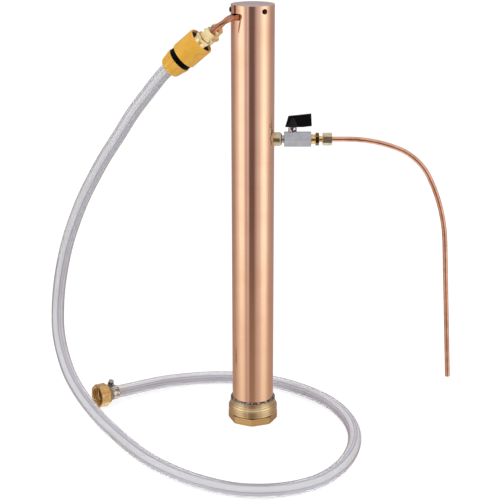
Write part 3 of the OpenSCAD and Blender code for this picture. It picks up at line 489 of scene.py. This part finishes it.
def stained_or_shaded(tree, colour, along, zones):
    """The colour with zones over it: each is from, to, its own colour and that colour's share."""
    for low, high, tint, share in zones:
        off = node(tree, "Math", {0: along, 1: (low + high) / 2}, operation="SUBTRACT")
        off = node(tree, "Math", {0: off.outputs[0]}, operation="ABSOLUTE")
        half = (high - low) / 2
        inside = node(
            tree, "MapRange",
            {"Value": off.outputs[0], "From Min": half, "From Max": half - ZONE_FADE,
             "To Min": 0.0, "To Max": share},
        )
        colour = node(
            tree, "Mix", {"Factor": inside.outputs[0], "A": colour, "B": linear(tint)},
            data_type="RGBA",
        ).outputs["Result"]
    return colour


print("a zone fades out over", ZONE_FADE / MM, "mm")

# %% [markdown]
# ## Worn and lit edges
# Hands, spanners and the polishing wheel reach the edges first and rub them brighter, and a sharp
# edge also shows a thin line of light or shade. Both are painted here as one tint along the edges:
# where the tint is lighter it is rubbing and a painted highlight, and where it is darker it is
# painted shade. The bevel node rounds the light on a sharp edge without any more geometry. Where it
# bends the normal away from the face's own, there is an edge, so the same node also says where to
# tint. The bend is given as a cosine: where the tint starts, and where it is full. The third number
# is its share.

# %% Worn and lit edges
BEVEL_SAMPLES = 6
METAL_WORN_OR_LIT = 0.995, 0.93, 0.8
PLASTIC_WORN_OR_LIT = 0.99, 0.9, 0.7


def worn_and_lit_edges(tree, colour, bevelled, tint, starts, full, share):
    """The colour with a share of a tint over it wherever the bevel bends the normal: rubbing and a
    painted highlight where the tint is lighter, painted shade where it is darker.
    """
    own = node(tree, "NewGeometry").outputs["Normal"]
    bent = node(tree, "VectorMath", {0: bevelled, 1: own}, operation="DOT_PRODUCT")
    worn_or_lit = node(
        tree, "MapRange",
        {"Value": bent.outputs["Value"], "From Min": starts, "From Max": full,
         "To Min": 0.0, "To Max": share},
    )
    return node(
        tree, "Mix", {"Factor": worn_or_lit.outputs[0], "A": colour, "B": linear(tint)},
        data_type="RGBA",
    ).outputs["Result"]


print("edges are rounded with", BEVEL_SAMPLES, "samples")

# %% [markdown]
# ## Pale grey on faces that look up
# Faces that look straight up, such as the cap's flat top, get a pale grey over their colour and a
# rougher surface.

# %% Pale grey on faces that look up
UPWARD_STARTS, UPWARD_FULL = 0.8, 0.98
UPWARD_ROUGHNESS = 0.2


def toned_upward(tree, colour, rough, upward_tone):
    """The colour and the roughness, with a pale grey and more roughness over the faces that look
    up.
    """
    facing = node(tree, "SeparateXYZ", {0: node(tree, "TexCoord").outputs["Normal"]})
    faces_up = node(
        tree, "MapRange",
        {"Value": facing.outputs["Z"], "From Min": UPWARD_STARTS, "From Max": UPWARD_FULL,
         "To Min": 0.0, "To Max": 1.0},
    )
    colour = node(
        tree, "Mix", {"Factor": faces_up.outputs[0], "A": colour, "B": linear(upward_tone)},
        data_type="RGBA",
    ).outputs["Result"]
    rough = node(
        tree, "Math", {0: faces_up.outputs[0], 1: UPWARD_ROUGHNESS, 2: rough},
        operation="MULTIPLY_ADD",
    ).outputs[0]
    return colour, rough


print("the film is full where a face's upward part is over", UPWARD_FULL)

# %% [markdown]
# ## Metals
# All the metals share one recipe. A metal's colour is in its reflection, so metallic is 1 and the
# IOR stays at its default. Two tones mix in soft patches or in bands that follow the tool: clean
# and dull metal on most pieces, on the chrome and the clamp also painted bright and dark
# reflections, and on the solder painted shade. The tool's lines also vary the roughness and raise a
# very shallow bump, and then come the zones, the edge tint and the pale grey of faces that look up,
# each only where a piece has them.

# %% Metal recipe
NOISE_LOW, NOISE_HIGH = 0.3, 0.7    # most of a noise lies between these


def metal(
    name, fresh_or_lit, dull_or_shaded, roughness, axis="column", line=0.4 * MM, drawn=False, depth=0.006 * MM,
    patch=25 * MM, patchy=(0.35, 0.75), edge=0.25 * MM, worn_or_lit_edge=None, spread=0.08, upward_tone=None,
    banded=0.0, zones=(),
):
    """One metal: its two tones, its finish, and the lines its making left.

    line and depth are the tool lines' width and height, patch and patchy the size of the second
    tone's patches and where they set in, and banded is how much of that tone follows the lines
    instead.
    spread is how much the roughness varies, and edge is the radius of the sharp edges."""
    material, tree = blank(name)
    lines, along = tool_lines(tree, axis, line, drawn)
    place = node(tree, "TexCoord").outputs["Object"]
    patches = node(
        tree, "TexNoise",
        {"Vector": place, "Scale": 1 / patch, "Detail": 5.0, "Roughness": 0.6},
    )
    wear_or_reflection = node(
        tree, "Mix", {"Factor": banded, "A": patches.outputs["Fac"], "B": lines},
        data_type="FLOAT",
    )
    tone = node(
        tree, "ValToRGB", {"Fac": wear_or_reflection.outputs["Result"]},
        stops=[(patchy[0], fresh_or_lit), (patchy[1], dull_or_shaded)],
    )
    bevelled = node(tree, "Bevel", {"Radius": edge}, samples=BEVEL_SAMPLES).outputs["Normal"]
    colour = stained_or_shaded(tree, tone.outputs["Color"], along, zones)
    if worn_or_lit_edge:
        colour = worn_and_lit_edges(tree, colour, bevelled, worn_or_lit_edge, *METAL_WORN_OR_LIT)
    rough = node(
        tree, "MapRange",
        {"Value": lines, "From Min": NOISE_LOW, "From Max": NOISE_HIGH,
         "To Min": roughness - spread, "To Max": roughness + spread},
    ).outputs[0]
    if upward_tone:
        colour, rough = toned_upward(tree, colour, rough, upward_tone)
    bump = node(
        tree, "Bump", {"Height": lines, "Distance": depth, "Strength": 1.0, "Normal": bevelled}
    )
    shader = node(
        tree, "BsdfPrincipled",
        {"Base Color": colour, "Metallic": 1.0, "Roughness": rough,
         "Normal": bump.outputs["Normal"]},
    )
    node(tree, "OutputMaterial", {"Surface": shader.outputs[0]})
    print("metal", name, "with lines of", round(line / MM, 2), "mm")
    return material


# %% [markdown]
# ## Copper
# The column is drawn copper tube with a bright mill finish: smooth, with faint lines along its
# length. Its cap is pressed from sheet: the skirt is polished with the column, and the top is given
# a flat pale grey. The thin tubes were annealed so that they bend by hand, which leaves them
# browner, and the coil's tails get a darker copy of the spout's copper. The parts inside are never
# polished.

# %% Copper finishes
# Mirror-like from across, with long soft streaks that run up the column
drawn_copper = metal(
    "drawn_copper", "#F9D0B0", "#F0BE9C", 0.13, line=0.9 * MM, drawn=True, depth=0.002 * MM,
    patch=60 * MM, patchy=(0.45, 0.85), spread=0.03,
)
# The same shine on the skirt, its edges tinted a deeper orange as a painted highlight line on the
# rim, and a flat pale grey on top
pressed_copper = metal(
    "pressed_copper", "#F6CCAE", "#E6B496", 0.17, line=0.7 * MM, depth=0.0015 * MM,
    patch=14 * MM, worn_or_lit_edge="#E8A47C", upward_tone="#C6B6B0",
)
# A clean satin gleam along the spout, with slightly browner stretches
annealed_copper = metal(
    "annealed_copper", "#F0BC9E", "#CA9478", 0.16, line=0.8 * MM, drawn=True,
    depth=0.001 * MM, patch=12 * MM, patchy=(0.3, 0.7), spread=0.05,
)
# Browner and darker than the spout's copper, in blotches, still shiny
darker_tail_copper = metal(
    "darker_tail_copper", "#CE9474", "#97604A", 0.17, line=0.8 * MM, drawn=True,
    depth=0.001 * MM, patch=10 * MM, patchy=(0.35, 0.65), spread=0.05,
)
# Matt and brownish, as it came from the mill
bare_copper = metal(
    "bare_copper", "#D0906C", "#9C6248", 0.38, line=0.8 * MM, depth=0.004 * MM, patch=12 * MM,
)

# %% [markdown]
# ## Brass
# Brass fittings are turned on a lathe from bar. The base fitting is the largest and shows its tool
# rings clearly. The small nuts keep the bar's flats, and their corners are tinted bright, partly
# spanner wear and partly painted highlight. Each fitting turned on its own axis, so each gets rings
# square to that axis. They come from different bars and had different lives, so each has tones of
# its own.

# %% Brass finishes
def brass(name, axis, fresh_or_lit, dull_or_shaded, roughness=0.2, line=0.45 * MM, patch=9 * MM, **more):
    """A turned brass: rings a little deeper than on other metals, and bright corners, partly
    rubbing and partly painted highlight.
    """
    return metal(
        name, fresh_or_lit, dull_or_shaded, roughness, axis=axis, line=line, depth=0.008 * MM,
        patch=patch, worn_or_lit_edge="#F0D596", edge=0.3 * MM, **more,
    )


OCTAGON_TO = 9.5 * MM
SHADED_GROOVE_TO = 11.7 * MM
ADAPTER_HEX = 78.4 * MM, 83.0 * MM

# Coarse rings in pale and dull brass, a yellower octagon, and above it a dark ring of painted shade
# in the groove. The octagon's zone starts below the foot, so that it doesn't fade out at the foot.
base_brass = brass(
    "base_brass", "column", "#F2D8AA", "#A28862", 0.2, line=1.5 * MM, banded=0.8,
    zones=[
        (-OCTAGON_TO, OCTAGON_TO, "#CDA25E", 0.6),
        # Painted shade: the groove's shadow, painted dark into the colour
        (OCTAGON_TO, SHADED_GROOVE_TO, "#2B1E14", 0.85),
    ],
)
# Greyed by the heat of soldering
bushing_brass = brass("bushing_brass", "takeoff", "#CDBD9C", "#9E9072", 0.24)
# Bright yellow ends with a dark hexagon between them: the hexagon's dark is a painted reflection of
# the dark room
adapter_brass = brass(
    "adapter_brass", "takeoff", "#F0D08A", "#96703A", 0.12, patch=4 * MM,
    zones=[(*ADAPTER_HEX, "#382A1A", 0.85)],
)
# Pale and satin, almost without yellow
spout_nut_brass = brass("spout_nut_brass", "takeoff", "#E2D6B2", "#928A72", 0.28, patch=2 * MM)
# Bright and newly turned, with crisp reflections
front_brass = brass("front_brass", "front", "#F8E6B4", "#CCA662", 0.13, patch=10 * MM)
# The same make, a little duller
rear_brass = brass("rear_brass", "rear", "#EED69C", "#B8945A", 0.15, patch=10 * MM)
# A working nut, deeper yellow with worn patches
mouth_brass = brass("mouth_brass", "mouth", "#E2C084", "#A88450", 0.2, patch=6 * MM)
# Dull brown where the hose's water has stood
tail_brass = brass("hose_tail_brass", "mouth", "#E2CFA6", "#7C6A50", 0.25, patch=2.5 * MM)

# %% [markdown]
# ## Plated and grey metals
# The valve body is satin nickel over brass, its gland nut and ball are chromed, and the hose clamp
# is stainless steel strip. Chrome mirrors the whole room at once, and on a small hexagon that reads
# as sharp bright and dark flecks, so its two tones are far apart: the flecks are painted
# reflections of the room. The clamp's dark flecks are partly dirt and partly painted dark
# reflection, and the nickel's edges are painted darker as shade where its faces meet. Solder cools
# in lumps, so it gets a coarser noise and a rough skin, with dark patches of painted shade for its
# hollows. The cap's screws are black oxide steel, which is dark; the grey at their edges is partly
# wear and partly painted shine.

# %% Grey metals
# Even and soft, with no sharp reflections, and its edges painted darker as shade where its faces
# meet
satin_nickel = metal(
    "satin_nickel", "#B9BABD", "#A9AAAE", 0.4, axis="takeoff", line=0.5 * MM, depth=0.002 * MM,
    patch=7 * MM, worn_or_lit_edge="#8C8D92", edge=0.4 * MM,
)
# Painted reflections of the room: mirror-bright flecks beside nearly black ones
bright_chrome = metal(
    "bright_chrome", "#EDEDF2", "#30303A", 0.06, axis="takeoff", line=2 * MM, depth=0.001 * MM,
    patch=3 * MM, patchy=(0.46, 0.56), spread=0.02,
)
# Bright strip with shallow grooves, dark flecks that are partly dirt and partly painted dark
# reflection, and a painted highlight along its edges
clamp_steel = metal(
    "clamp_steel", "#CDC4B8", "#68625C", 0.15, axis="mouth", line=1.1 * MM, depth=0.03 * MM,
    patch=4 * MM, patchy=(0.4, 0.62), worn_or_lit_edge="#F0F0F0",
)
# Plain grey wire
spring_steel = metal("spring_steel", "#B9BABC", "#8E8F92", 0.25, axis="front")
# Lumpy and grey, with dark patches of painted shade for its hollows
solder = metal(
    "solder", "#A8A4A2", "#453F3D", 0.22, line=1.6 * MM, depth=0.1 * MM, patch=2.6 * MM,
    patchy=(0.4, 0.54), spread=0.12,
)
# Nearly black, with a thin grey on the rims that is partly wear and partly painted shine
black_oxide = metal(
    "black_oxide_steel", "#242327", "#121214", 0.2, line=0.6 * MM, patch=3 * MM,
    worn_or_lit_edge="#8A8A8E", edge=0.2 * MM,
)

# %% [markdown]
# ## Plastics and rubber
# The lever is dipped in black vinyl and the connector is moulded acetal, amber outside and black
# inside. Moulded plastic has a very fine spark-eroded grain, about 0.05 mm on the real one and
# drawn here about 0.3 mm so that it shows. Its edges get a lighter tint, a painted sheen, and the
# connector's black is painted darker than the plastic itself, as painted shade between the amber
# parts. The seat rings, the packing and the ring that grips the hose are white PTFE, the seals are
# rubber, and the washer in the hose nut is brown fibre.

# %% Plastic recipe
SHADE_PATCH = 12 * MM
GRAIN_DEPTH = 0.01 * MM
MOULD_EDGE = 0.3 * MM
PLASTIC_IOR = 1.48
PLASTIC_SPREAD = 0.05
GLOW_DEPTH = 2 * MM


def moulded(name, colour, shade, roughness, grain=0.3 * MM, glow=0.0, gloss=0.5, worn_or_lit_edge=None):
    """A moulded plastic: its colour with a slightly darker shade in soft patches, and its grain.

    glow is how far light sinks into it, and gloss how much its skin mirrors."""
    material, tree = blank(name)
    place = node(tree, "TexCoord").outputs["Object"]
    patches = node(tree, "TexNoise", {"Vector": place, "Scale": 1 / SHADE_PATCH, "Detail": 3.0})
    fine = node(tree, "TexNoise", {"Vector": place, "Scale": 1 / grain, "Detail": 1.0})
    tone = node(
        tree, "ValToRGB", {"Fac": patches.outputs["Fac"]}, stops=[(0.35, colour), (0.7, shade)]
    )
    bevelled = node(
        tree, "Bevel", {"Radius": MOULD_EDGE}, samples=BEVEL_SAMPLES
    ).outputs["Normal"]
    surface = tone.outputs["Color"]
    if worn_or_lit_edge:
        surface = worn_and_lit_edges(tree, surface, bevelled, worn_or_lit_edge, *PLASTIC_WORN_OR_LIT)
    rough = node(
        tree, "MapRange",
        {"Value": patches.outputs["Fac"], "From Min": NOISE_LOW, "From Max": NOISE_HIGH,
         "To Min": roughness - PLASTIC_SPREAD, "To Max": roughness + PLASTIC_SPREAD},
    )
    bump = node(
        tree, "Bump",
        {"Height": fine.outputs["Fac"], "Distance": GRAIN_DEPTH, "Strength": 1.0,
         "Normal": bevelled},
    )
    shader = node(
        tree, "BsdfPrincipled",
        {"Base Color": surface, "Roughness": rough.outputs[0], "IOR": PLASTIC_IOR,
         "Specular IOR Level": gloss, "Subsurface Weight": glow, "Subsurface Scale": GLOW_DEPTH,
         "Normal": bump.outputs["Normal"]},
    )
    node(tree, "OutputMaterial", {"Surface": shader.outputs[0]})
    print("plastic", name)
    return material


# %% Plastics and rubber
# Deep black with a soft sheen painted along the lever's edges
dipped_vinyl = moulded(
    "dipped_black_vinyl", "#0A0A0D", "#060608", 0.24, gloss=0.22, worn_or_lit_edge="#222226",
)
# Black, painted darker than the plastic's own black as the shade between the amber parts, so that
# it reads as a plain black band
black_acetal = moulded("black_acetal", "#050404", "#030303", 0.5, gloss=0.05, worn_or_lit_edge="#121110")
# Warm and slightly waxy, as light sinks in a little way, with a painted sheen on its edges
amber_acetal = moulded(
    "amber_acetal", "#ECB43C", "#E4A934", 0.3, glow=0.15, worn_or_lit_edge="#FAD98A",
)
# Flat white
white_ptfe = moulded("white_ptfe", "#ECEAE4", "#E0DDD5", 0.5)
# Flat black, with a coarser grain
seal_rubber = moulded("seal_rubber", "#1A1A1A", "#101010", 0.62, grain=0.5 * MM)
# Pressed paper fibre, soaked brown
brown_fibre = moulded("brown_fibre", "#8A6234", "#6A4826", 0.35, grain=0.5 * MM)

# %% [markdown]
# ## Clear vinyl
# The hose is clear, but not like glass: the wall is thick soft vinyl with a grey-violet tint. The
# tint is in the depth of the wall, so it is a volume that absorbs light, and light crosses more
# vinyl near the edges than in the middle, which is what draws the hose's grey edges. Soft vinyl is
# also a little milky, so part of the light scatters at the surface instead of passing through.
# Light and dark bands along the whole length, about 8 mm wide, are painted into the colour: painted
# highlight lines and painted shade for the bands that a clear tube shows, and the surface stays
# smooth.

# %% Clear vinyl
VINYL_TINT = "#8C849A"
VINYL_DENSITY = 30.0
VINYL_CLEAR = 0.6
VINYL_IOR = 1.52
STREAKS_PER_RADIUS = 1.1


def banded_vinyl():
    """Clear vinyl whose painted light and dark bands follow the direction that each point of a tube
    carries.
    """
    material, tree = blank("clear_vinyl")
    around = node(tree, "Attribute", attribute_name="around").outputs["Vector"]
    streaks = node(
        tree, "TexNoise", {"Vector": around, "Scale": STREAKS_PER_RADIUS, "Detail": 0.0}
    )
    # Painted highlight lines and painted shade: light and dark bands for the look of a clear tube
    tone = node(
        tree, "ValToRGB", {"Fac": streaks.outputs["Fac"]},
        stops=[(0.38, "#F6F4FA"), (0.46, "#ECE9F2"), (0.52, "#C8C4D0"), (0.56, "#FFFFFF")],
    )
    shader = node(
        tree, "BsdfPrincipled",
        {"Base Color": tone.outputs["Color"], "Roughness": 0.0, "IOR": VINYL_IOR,
         "Transmission Weight": VINYL_CLEAR},
    )
    tint = node(
        tree, "VolumeAbsorption", {"Color": linear(VINYL_TINT), "Density": VINYL_DENSITY}
    )
    node(tree, "OutputMaterial", {"Surface": shader.outputs[0], "Volume": tint.outputs[0]})
    return material


clear_vinyl = banded_vinyl()
print("vinyl lets", round(100 * VINYL_CLEAR), "% of the light through its surface")

# %% [markdown]
# ## Knitted copper mesh
# Between the coil and the foot, the column is packed with rolls of knitted copper mesh. Only a
# glimpse of it shows through the screen from below. Its loops are about 4 mm, drawn as the edges
# of a cell pattern, bright wire over dark gaps; the gaps' dark is painted shade, where the roll's
# depth would be.

# %% Copper mesh
LOOP = 4 * MM
WIRE_HEIGHT = 1 * MM


def knitted_mesh():
    """Rolled copper mesh: raised bright wire round dark gaps, their dark painted shade."""
    material, tree = blank("knitted_copper_mesh")
    place = node(tree, "TexCoord").outputs["Object"]
    cells = node(
        tree, "TexVoronoi", {"Vector": place, "Scale": 1 / LOOP}, feature="DISTANCE_TO_EDGE"
    )
    # Painted shade: the gaps between the loops are dark
    wire = node(
        tree, "ValToRGB", {"Fac": cells.outputs["Distance"]},
        stops=[(0.05, "#D08C66"), (0.16, "#2A1710")],
    )
    bump = node(
        tree, "Bump",
        {"Height": cells.outputs["Distance"], "Distance": WIRE_HEIGHT, "Strength": 1.0},
        invert=True,
    )
    shader = node(
        tree, "BsdfPrincipled",
        {"Base Color": wire.outputs["Color"], "Metallic": 1.0, "Roughness": 0.4,
         "Normal": bump.outputs["Normal"]},
    )
    node(tree, "OutputMaterial", {"Surface": shader.outputs[0]})
    return material


copper_mesh = knitted_mesh()
print("mesh loops are", LOOP / MM, "mm")

# %% [markdown]
# ## Which piece wears what
# Every piece gets exactly one finish, and one table says which. The pieces made above stand in it
# beside the construction's own, by name.

# %% Dress the pieces
def dress(piece, material):
    """Gives a piece one material and no other."""
    piece.data.materials.clear()
    piece.data.materials.append(material)


FINISHES = {
    drawn_copper: ["column_tube"],
    pressed_copper: ["top_cap"],
    annealed_copper: ["outlet_spout", "spout_tube"],
    darker_tail_copper: ["front_tail", "rear_tail", "supply_tail", "return_tail"],
    bare_copper: ["condenser_coil", "upper_plate", "lower_plate", "support_screen"],
    copper_mesh: ["mesh_rolls"],
    black_oxide: ["cap_screws"],
    base_brass: ["base_fitting"],
    solder: ["solder_bead"],
    bushing_brass: ["outlet_bushing", "valve_stem"],
    adapter_brass: ["spout_adapter", "spout_ferrule"],
    spout_nut_brass: ["spout_nut"],
    satin_nickel: ["valve_body", "valve_insert", "lever_screw"],
    bright_chrome: ["stem_nut", "valve_ball"],
    front_brass: ["front_nut", "front_ferrule", "front_nipple"],
    rear_brass: ["rear_nut", "rear_ferrule", "rear_nipple"],
    mouth_brass: ["swivel_nut", "hose_nut_thread"],
    tail_brass: ["hose_barb"],
    clamp_steel: ["clamp_band", "clamp_housing", "clamp_screw"],
    spring_steel: ["connector_spring", "connector_claws", "release_spring"],
    dipped_vinyl: ["valve_lever"],
    black_acetal: ["connector_body"],
    amber_acetal: ["connector_sleeve", "connector_collar"],
    white_ptfe: ["valve_seats", "stem_packing", "hose_grip"],
    seal_rubber: ["front_oring", "rear_oring"],
    brown_fibre: ["hose_washer"],
    clear_vinyl: ["hose", "clear_hose"],
}
made = (hose, nut_thread, spout, supply_tail, return_tail, spring)
pieces = {**nodes, **{piece.name: piece for piece in made}}
for finish, names in FINISHES.items():
    for name in names:
        dress(pieces[name], finish)
print("dressed", sum(len(names) for names in FINISHES.values()), "of", len(pieces), "pieces")

# %% [markdown]
# ## Cards beside the column
# The polished column would mirror the hose, the couplings, the connector and the lever. In a studio
# small white cards screen such things off, so that the column shows clean bands. Here the pieces
# are left out of reflections instead, which does the same and leaves nothing to hide.

# %% Cards
CARDED = ("connector_", "front_", "rear_", "hose_", "valve_lever")
carded = [hose, spring, *(nodes[n] for n in nodes if n.startswith(CARDED))]
for piece in carded:
    piece.visible_glossy = False
print("screened off", len(carded), "pieces")

# %% [markdown]
# ## Studio
# Bright metal shows the room more than itself, so the room is part of the finish. Two tall soft
# boxes stand left and right of the camera, with the dark room between them: they draw the two
# cream bands and the dark line down the column. The room is painted on the world, by compass
# direction, and only reflections see it. Real soft boxes would do it too, but a painted room holds
# every edge and tone of the bands where it is put.

# %% Room by compass direction
world = bpy.data.worlds.new("studio")
scene.world = world
world.use_nodes = True
sky = world.node_tree
sky.nodes.clear()

up_and_round = node(sky, "SeparateXYZ", {0: node(sky, "TexCoord").outputs["Generated"]})
towards = node(sky, "Math", {0: up_and_round.outputs["Y"], 1: -1.0}, operation="MULTIPLY")
azimuth = node(
    sky, "Math", {0: up_and_round.outputs["X"], 1: towards.outputs[0]}, operation="ARCTAN2"
)
compass = node(
    sky, "MapRange",
    {"Value": azimuth.outputs[0], "From Min": -pi, "From Max": pi, "To Min": 0.0, "To Max": 1.0},
)
# From behind the object (0), round by the left, to straight in front (0.5) and on by the right
ROOM = [
    (0.0, "#A79C9C"), (0.12, "#8C8084"), (0.185, "#A0928E"), (0.265, "#DAD7D5"),
    (0.305, "#FCFCFC"), (0.356, "#F6F6F4"), (0.386, "#C2B2A8"), (0.41, "#A89EAC"),
    (0.427, "#D2CAD6"), (0.441, "#9A90A2"), (0.455, "#60504F"), (0.518, "#665656"),
    (0.547, "#A298A4"), (0.585, "#C4BCC2"), (0.605, "#CBC2BE"), (0.635, "#F0F0F0"),
    (0.655, "#FFFFFF"), (0.7, "#FFFFFF"), (0.745, "#D0C8C1"), (0.8, "#A4959A"),
    (0.9, "#988C92"), (1.0, "#A79C9C"),
]
room = node(sky, "ValToRGB", {"Fac": compass.outputs[0]}, stops=ROOM)
print("room painted with", len(ROOM), "tones")

# %% [markdown]
# ## Table and ceiling
# The room isn't the same at every height. Light from the table evens it out, more the further down
# a surface looks. Faces that look almost straight down show the white table itself, and faces that
# look up show a pale ceiling. Each is laid over the one before and fades in between two heights,
# given as the upward part of the direction.

# %% Table and ceiling
LAYERS = (
    ("table light", "#A8927E", -0.26, -0.44, 0.55),
    ("table", "#EDEDF0", -0.5, -0.85, 1.0),
    ("ceiling", "#DCDCE0", 0.15, 0.7, 1.0),
)
seen_room = room.outputs["Color"]
for layer, colour, starts, full, share in LAYERS:
    height = node(
        sky, "MapRange",
        {"Value": up_and_round.outputs["Z"], "From Min": starts, "From Max": full,
         "To Min": 0.0, "To Max": share},
        interpolation_type="SMOOTHSTEP",
    )
    seen_room = node(
        sky, "Mix", {"Factor": height.outputs[0], "A": seen_room, "B": linear(colour)},
        data_type="RGBA",
    ).outputs["Result"]
    print(layer, "is full at height", full)

# %% [markdown]
# ## What each ray sees
# Reflections see the painted room. The camera, and anything seen through the clear hose, gets plain
# white. Everything else gets a soft even light, so that colours render about as they are written.

# %% World
ROOM_LEVEL = 1.3
AMBIENT_LEVEL = 0.75
WHITE = linear("#FFFFFF")

ray = node(sky, "LightPath")
reflected = node(sky, "Background", {"Color": seen_room, "Strength": ROOM_LEVEL})
ambient = node(sky, "Background", {"Color": WHITE, "Strength": AMBIENT_LEVEL})
white = node(sky, "Background", {"Color": WHITE, "Strength": 1.0})
lit = node(
    sky, "MixShader",
    {0: ray.outputs["Is Glossy Ray"], 1: ambient.outputs[0], 2: reflected.outputs[0]},
)
plain = node(
    sky, "Math", {0: ray.outputs["Is Camera Ray"], 1: ray.outputs["Is Transmission Ray"]},
    operation="MAXIMUM",
)
whole = node(sky, "MixShader", {0: plain.outputs[0], 1: lit.outputs[0], 2: white.outputs[0]})
node(sky, "OutputWorld", {"Surface": whole.outputs[0]})
print("room at", ROOM_LEVEL, "and soft light at", AMBIENT_LEVEL)

# %% [markdown]
# ## Floor
# The floor is a white table that catches a faint shadow. Part of its white glows by itself, so that
# it stays white to the camera, and the rest is matt and can be shaded. The light that it throws
# back on the object comes from a plain pale matt, and reflections see the painted table instead.

# %% Floor
FLOOR_HALF = 6.0
FLOOR_DROP = 0.2 * MM
TABLE_GLOW = 0.8
TABLE_MATT = "#9E9E9E"
PALE_MATT = "#E7E7E7"

mesh = bpy.data.meshes.new("floor")
mesh.from_pydata(
    [(x, y, -FLOOR_DROP) for x, y in ((-1, -1), (1, -1), (1, 1), (-1, 1))], [], [(0, 1, 2, 3)]
)
floor = bpy.data.objects.new("floor", mesh)
floor.scale = (FLOOR_HALF, FLOOR_HALF, 1)
scene.collection.objects.link(floor)

material, tree = blank("white_table")
ray = node(tree, "LightPath")
seen = node(
    tree, "Math", {0: ray.outputs["Is Camera Ray"], 1: ray.outputs["Is Transmission Ray"]},
    operation="MAXIMUM",
)
glow = node(tree, "Emission", {"Color": WHITE, "Strength": TABLE_GLOW})
matt = node(tree, "BsdfDiffuse", {"Color": linear(TABLE_MATT)})
table_top = node(tree, "AddShader", {0: glow.outputs[0], 1: matt.outputs[0]})
pale = node(tree, "BsdfDiffuse", {"Color": linear(PALE_MATT)})
lit = node(tree, "MixShader", {0: seen.outputs[0], 1: pale.outputs[0], 2: table_top.outputs[0]})
gone = node(tree, "BsdfTransparent")
whole = node(
    tree, "MixShader", {0: ray.outputs["Is Glossy Ray"], 1: lit.outputs[0], 2: gone.outputs[0]}
)
node(tree, "OutputMaterial", {"Surface": whole.outputs[0]})
dress(floor, material)
print("floor", 2 * FLOOR_HALF, "m wide")

# %% [markdown]
# ## Lamps
# Two large soft lamps give the matt pieces their shape and the faint shadow its direction, the key
# from the left and a weaker fill from the right. They are kept out of reflections, because the
# painted room already has the soft boxes.

# %% Lamps
LAMP_TARGET = (0, 0, 0.25)
LAMP_SIZE = (1.2, 1.6)


def soft_box(name, place, watts):
    """A large soft lamp that faces the object's lower half."""
    lamp = bpy.data.lights.new(name, "AREA")
    lamp.shape = "RECTANGLE"
    lamp.size, lamp.size_y = LAMP_SIZE
    lamp.energy = watts
    box = bpy.data.objects.new(name, lamp)
    box.location = place
    facing = Vector(LAMP_TARGET) - Vector(place)
    box.rotation_euler = facing.to_track_quat("-Z", "Y").to_euler()
    box.visible_glossy = False
    scene.collection.objects.link(box)
    print(name, watts, "W from", round(facing.length, 2), "m")


soft_box("key", (-1.6, -1.4, 1.7), watts=14)
soft_box("fill", (1.7, -1.1, 1.3), watts=9)
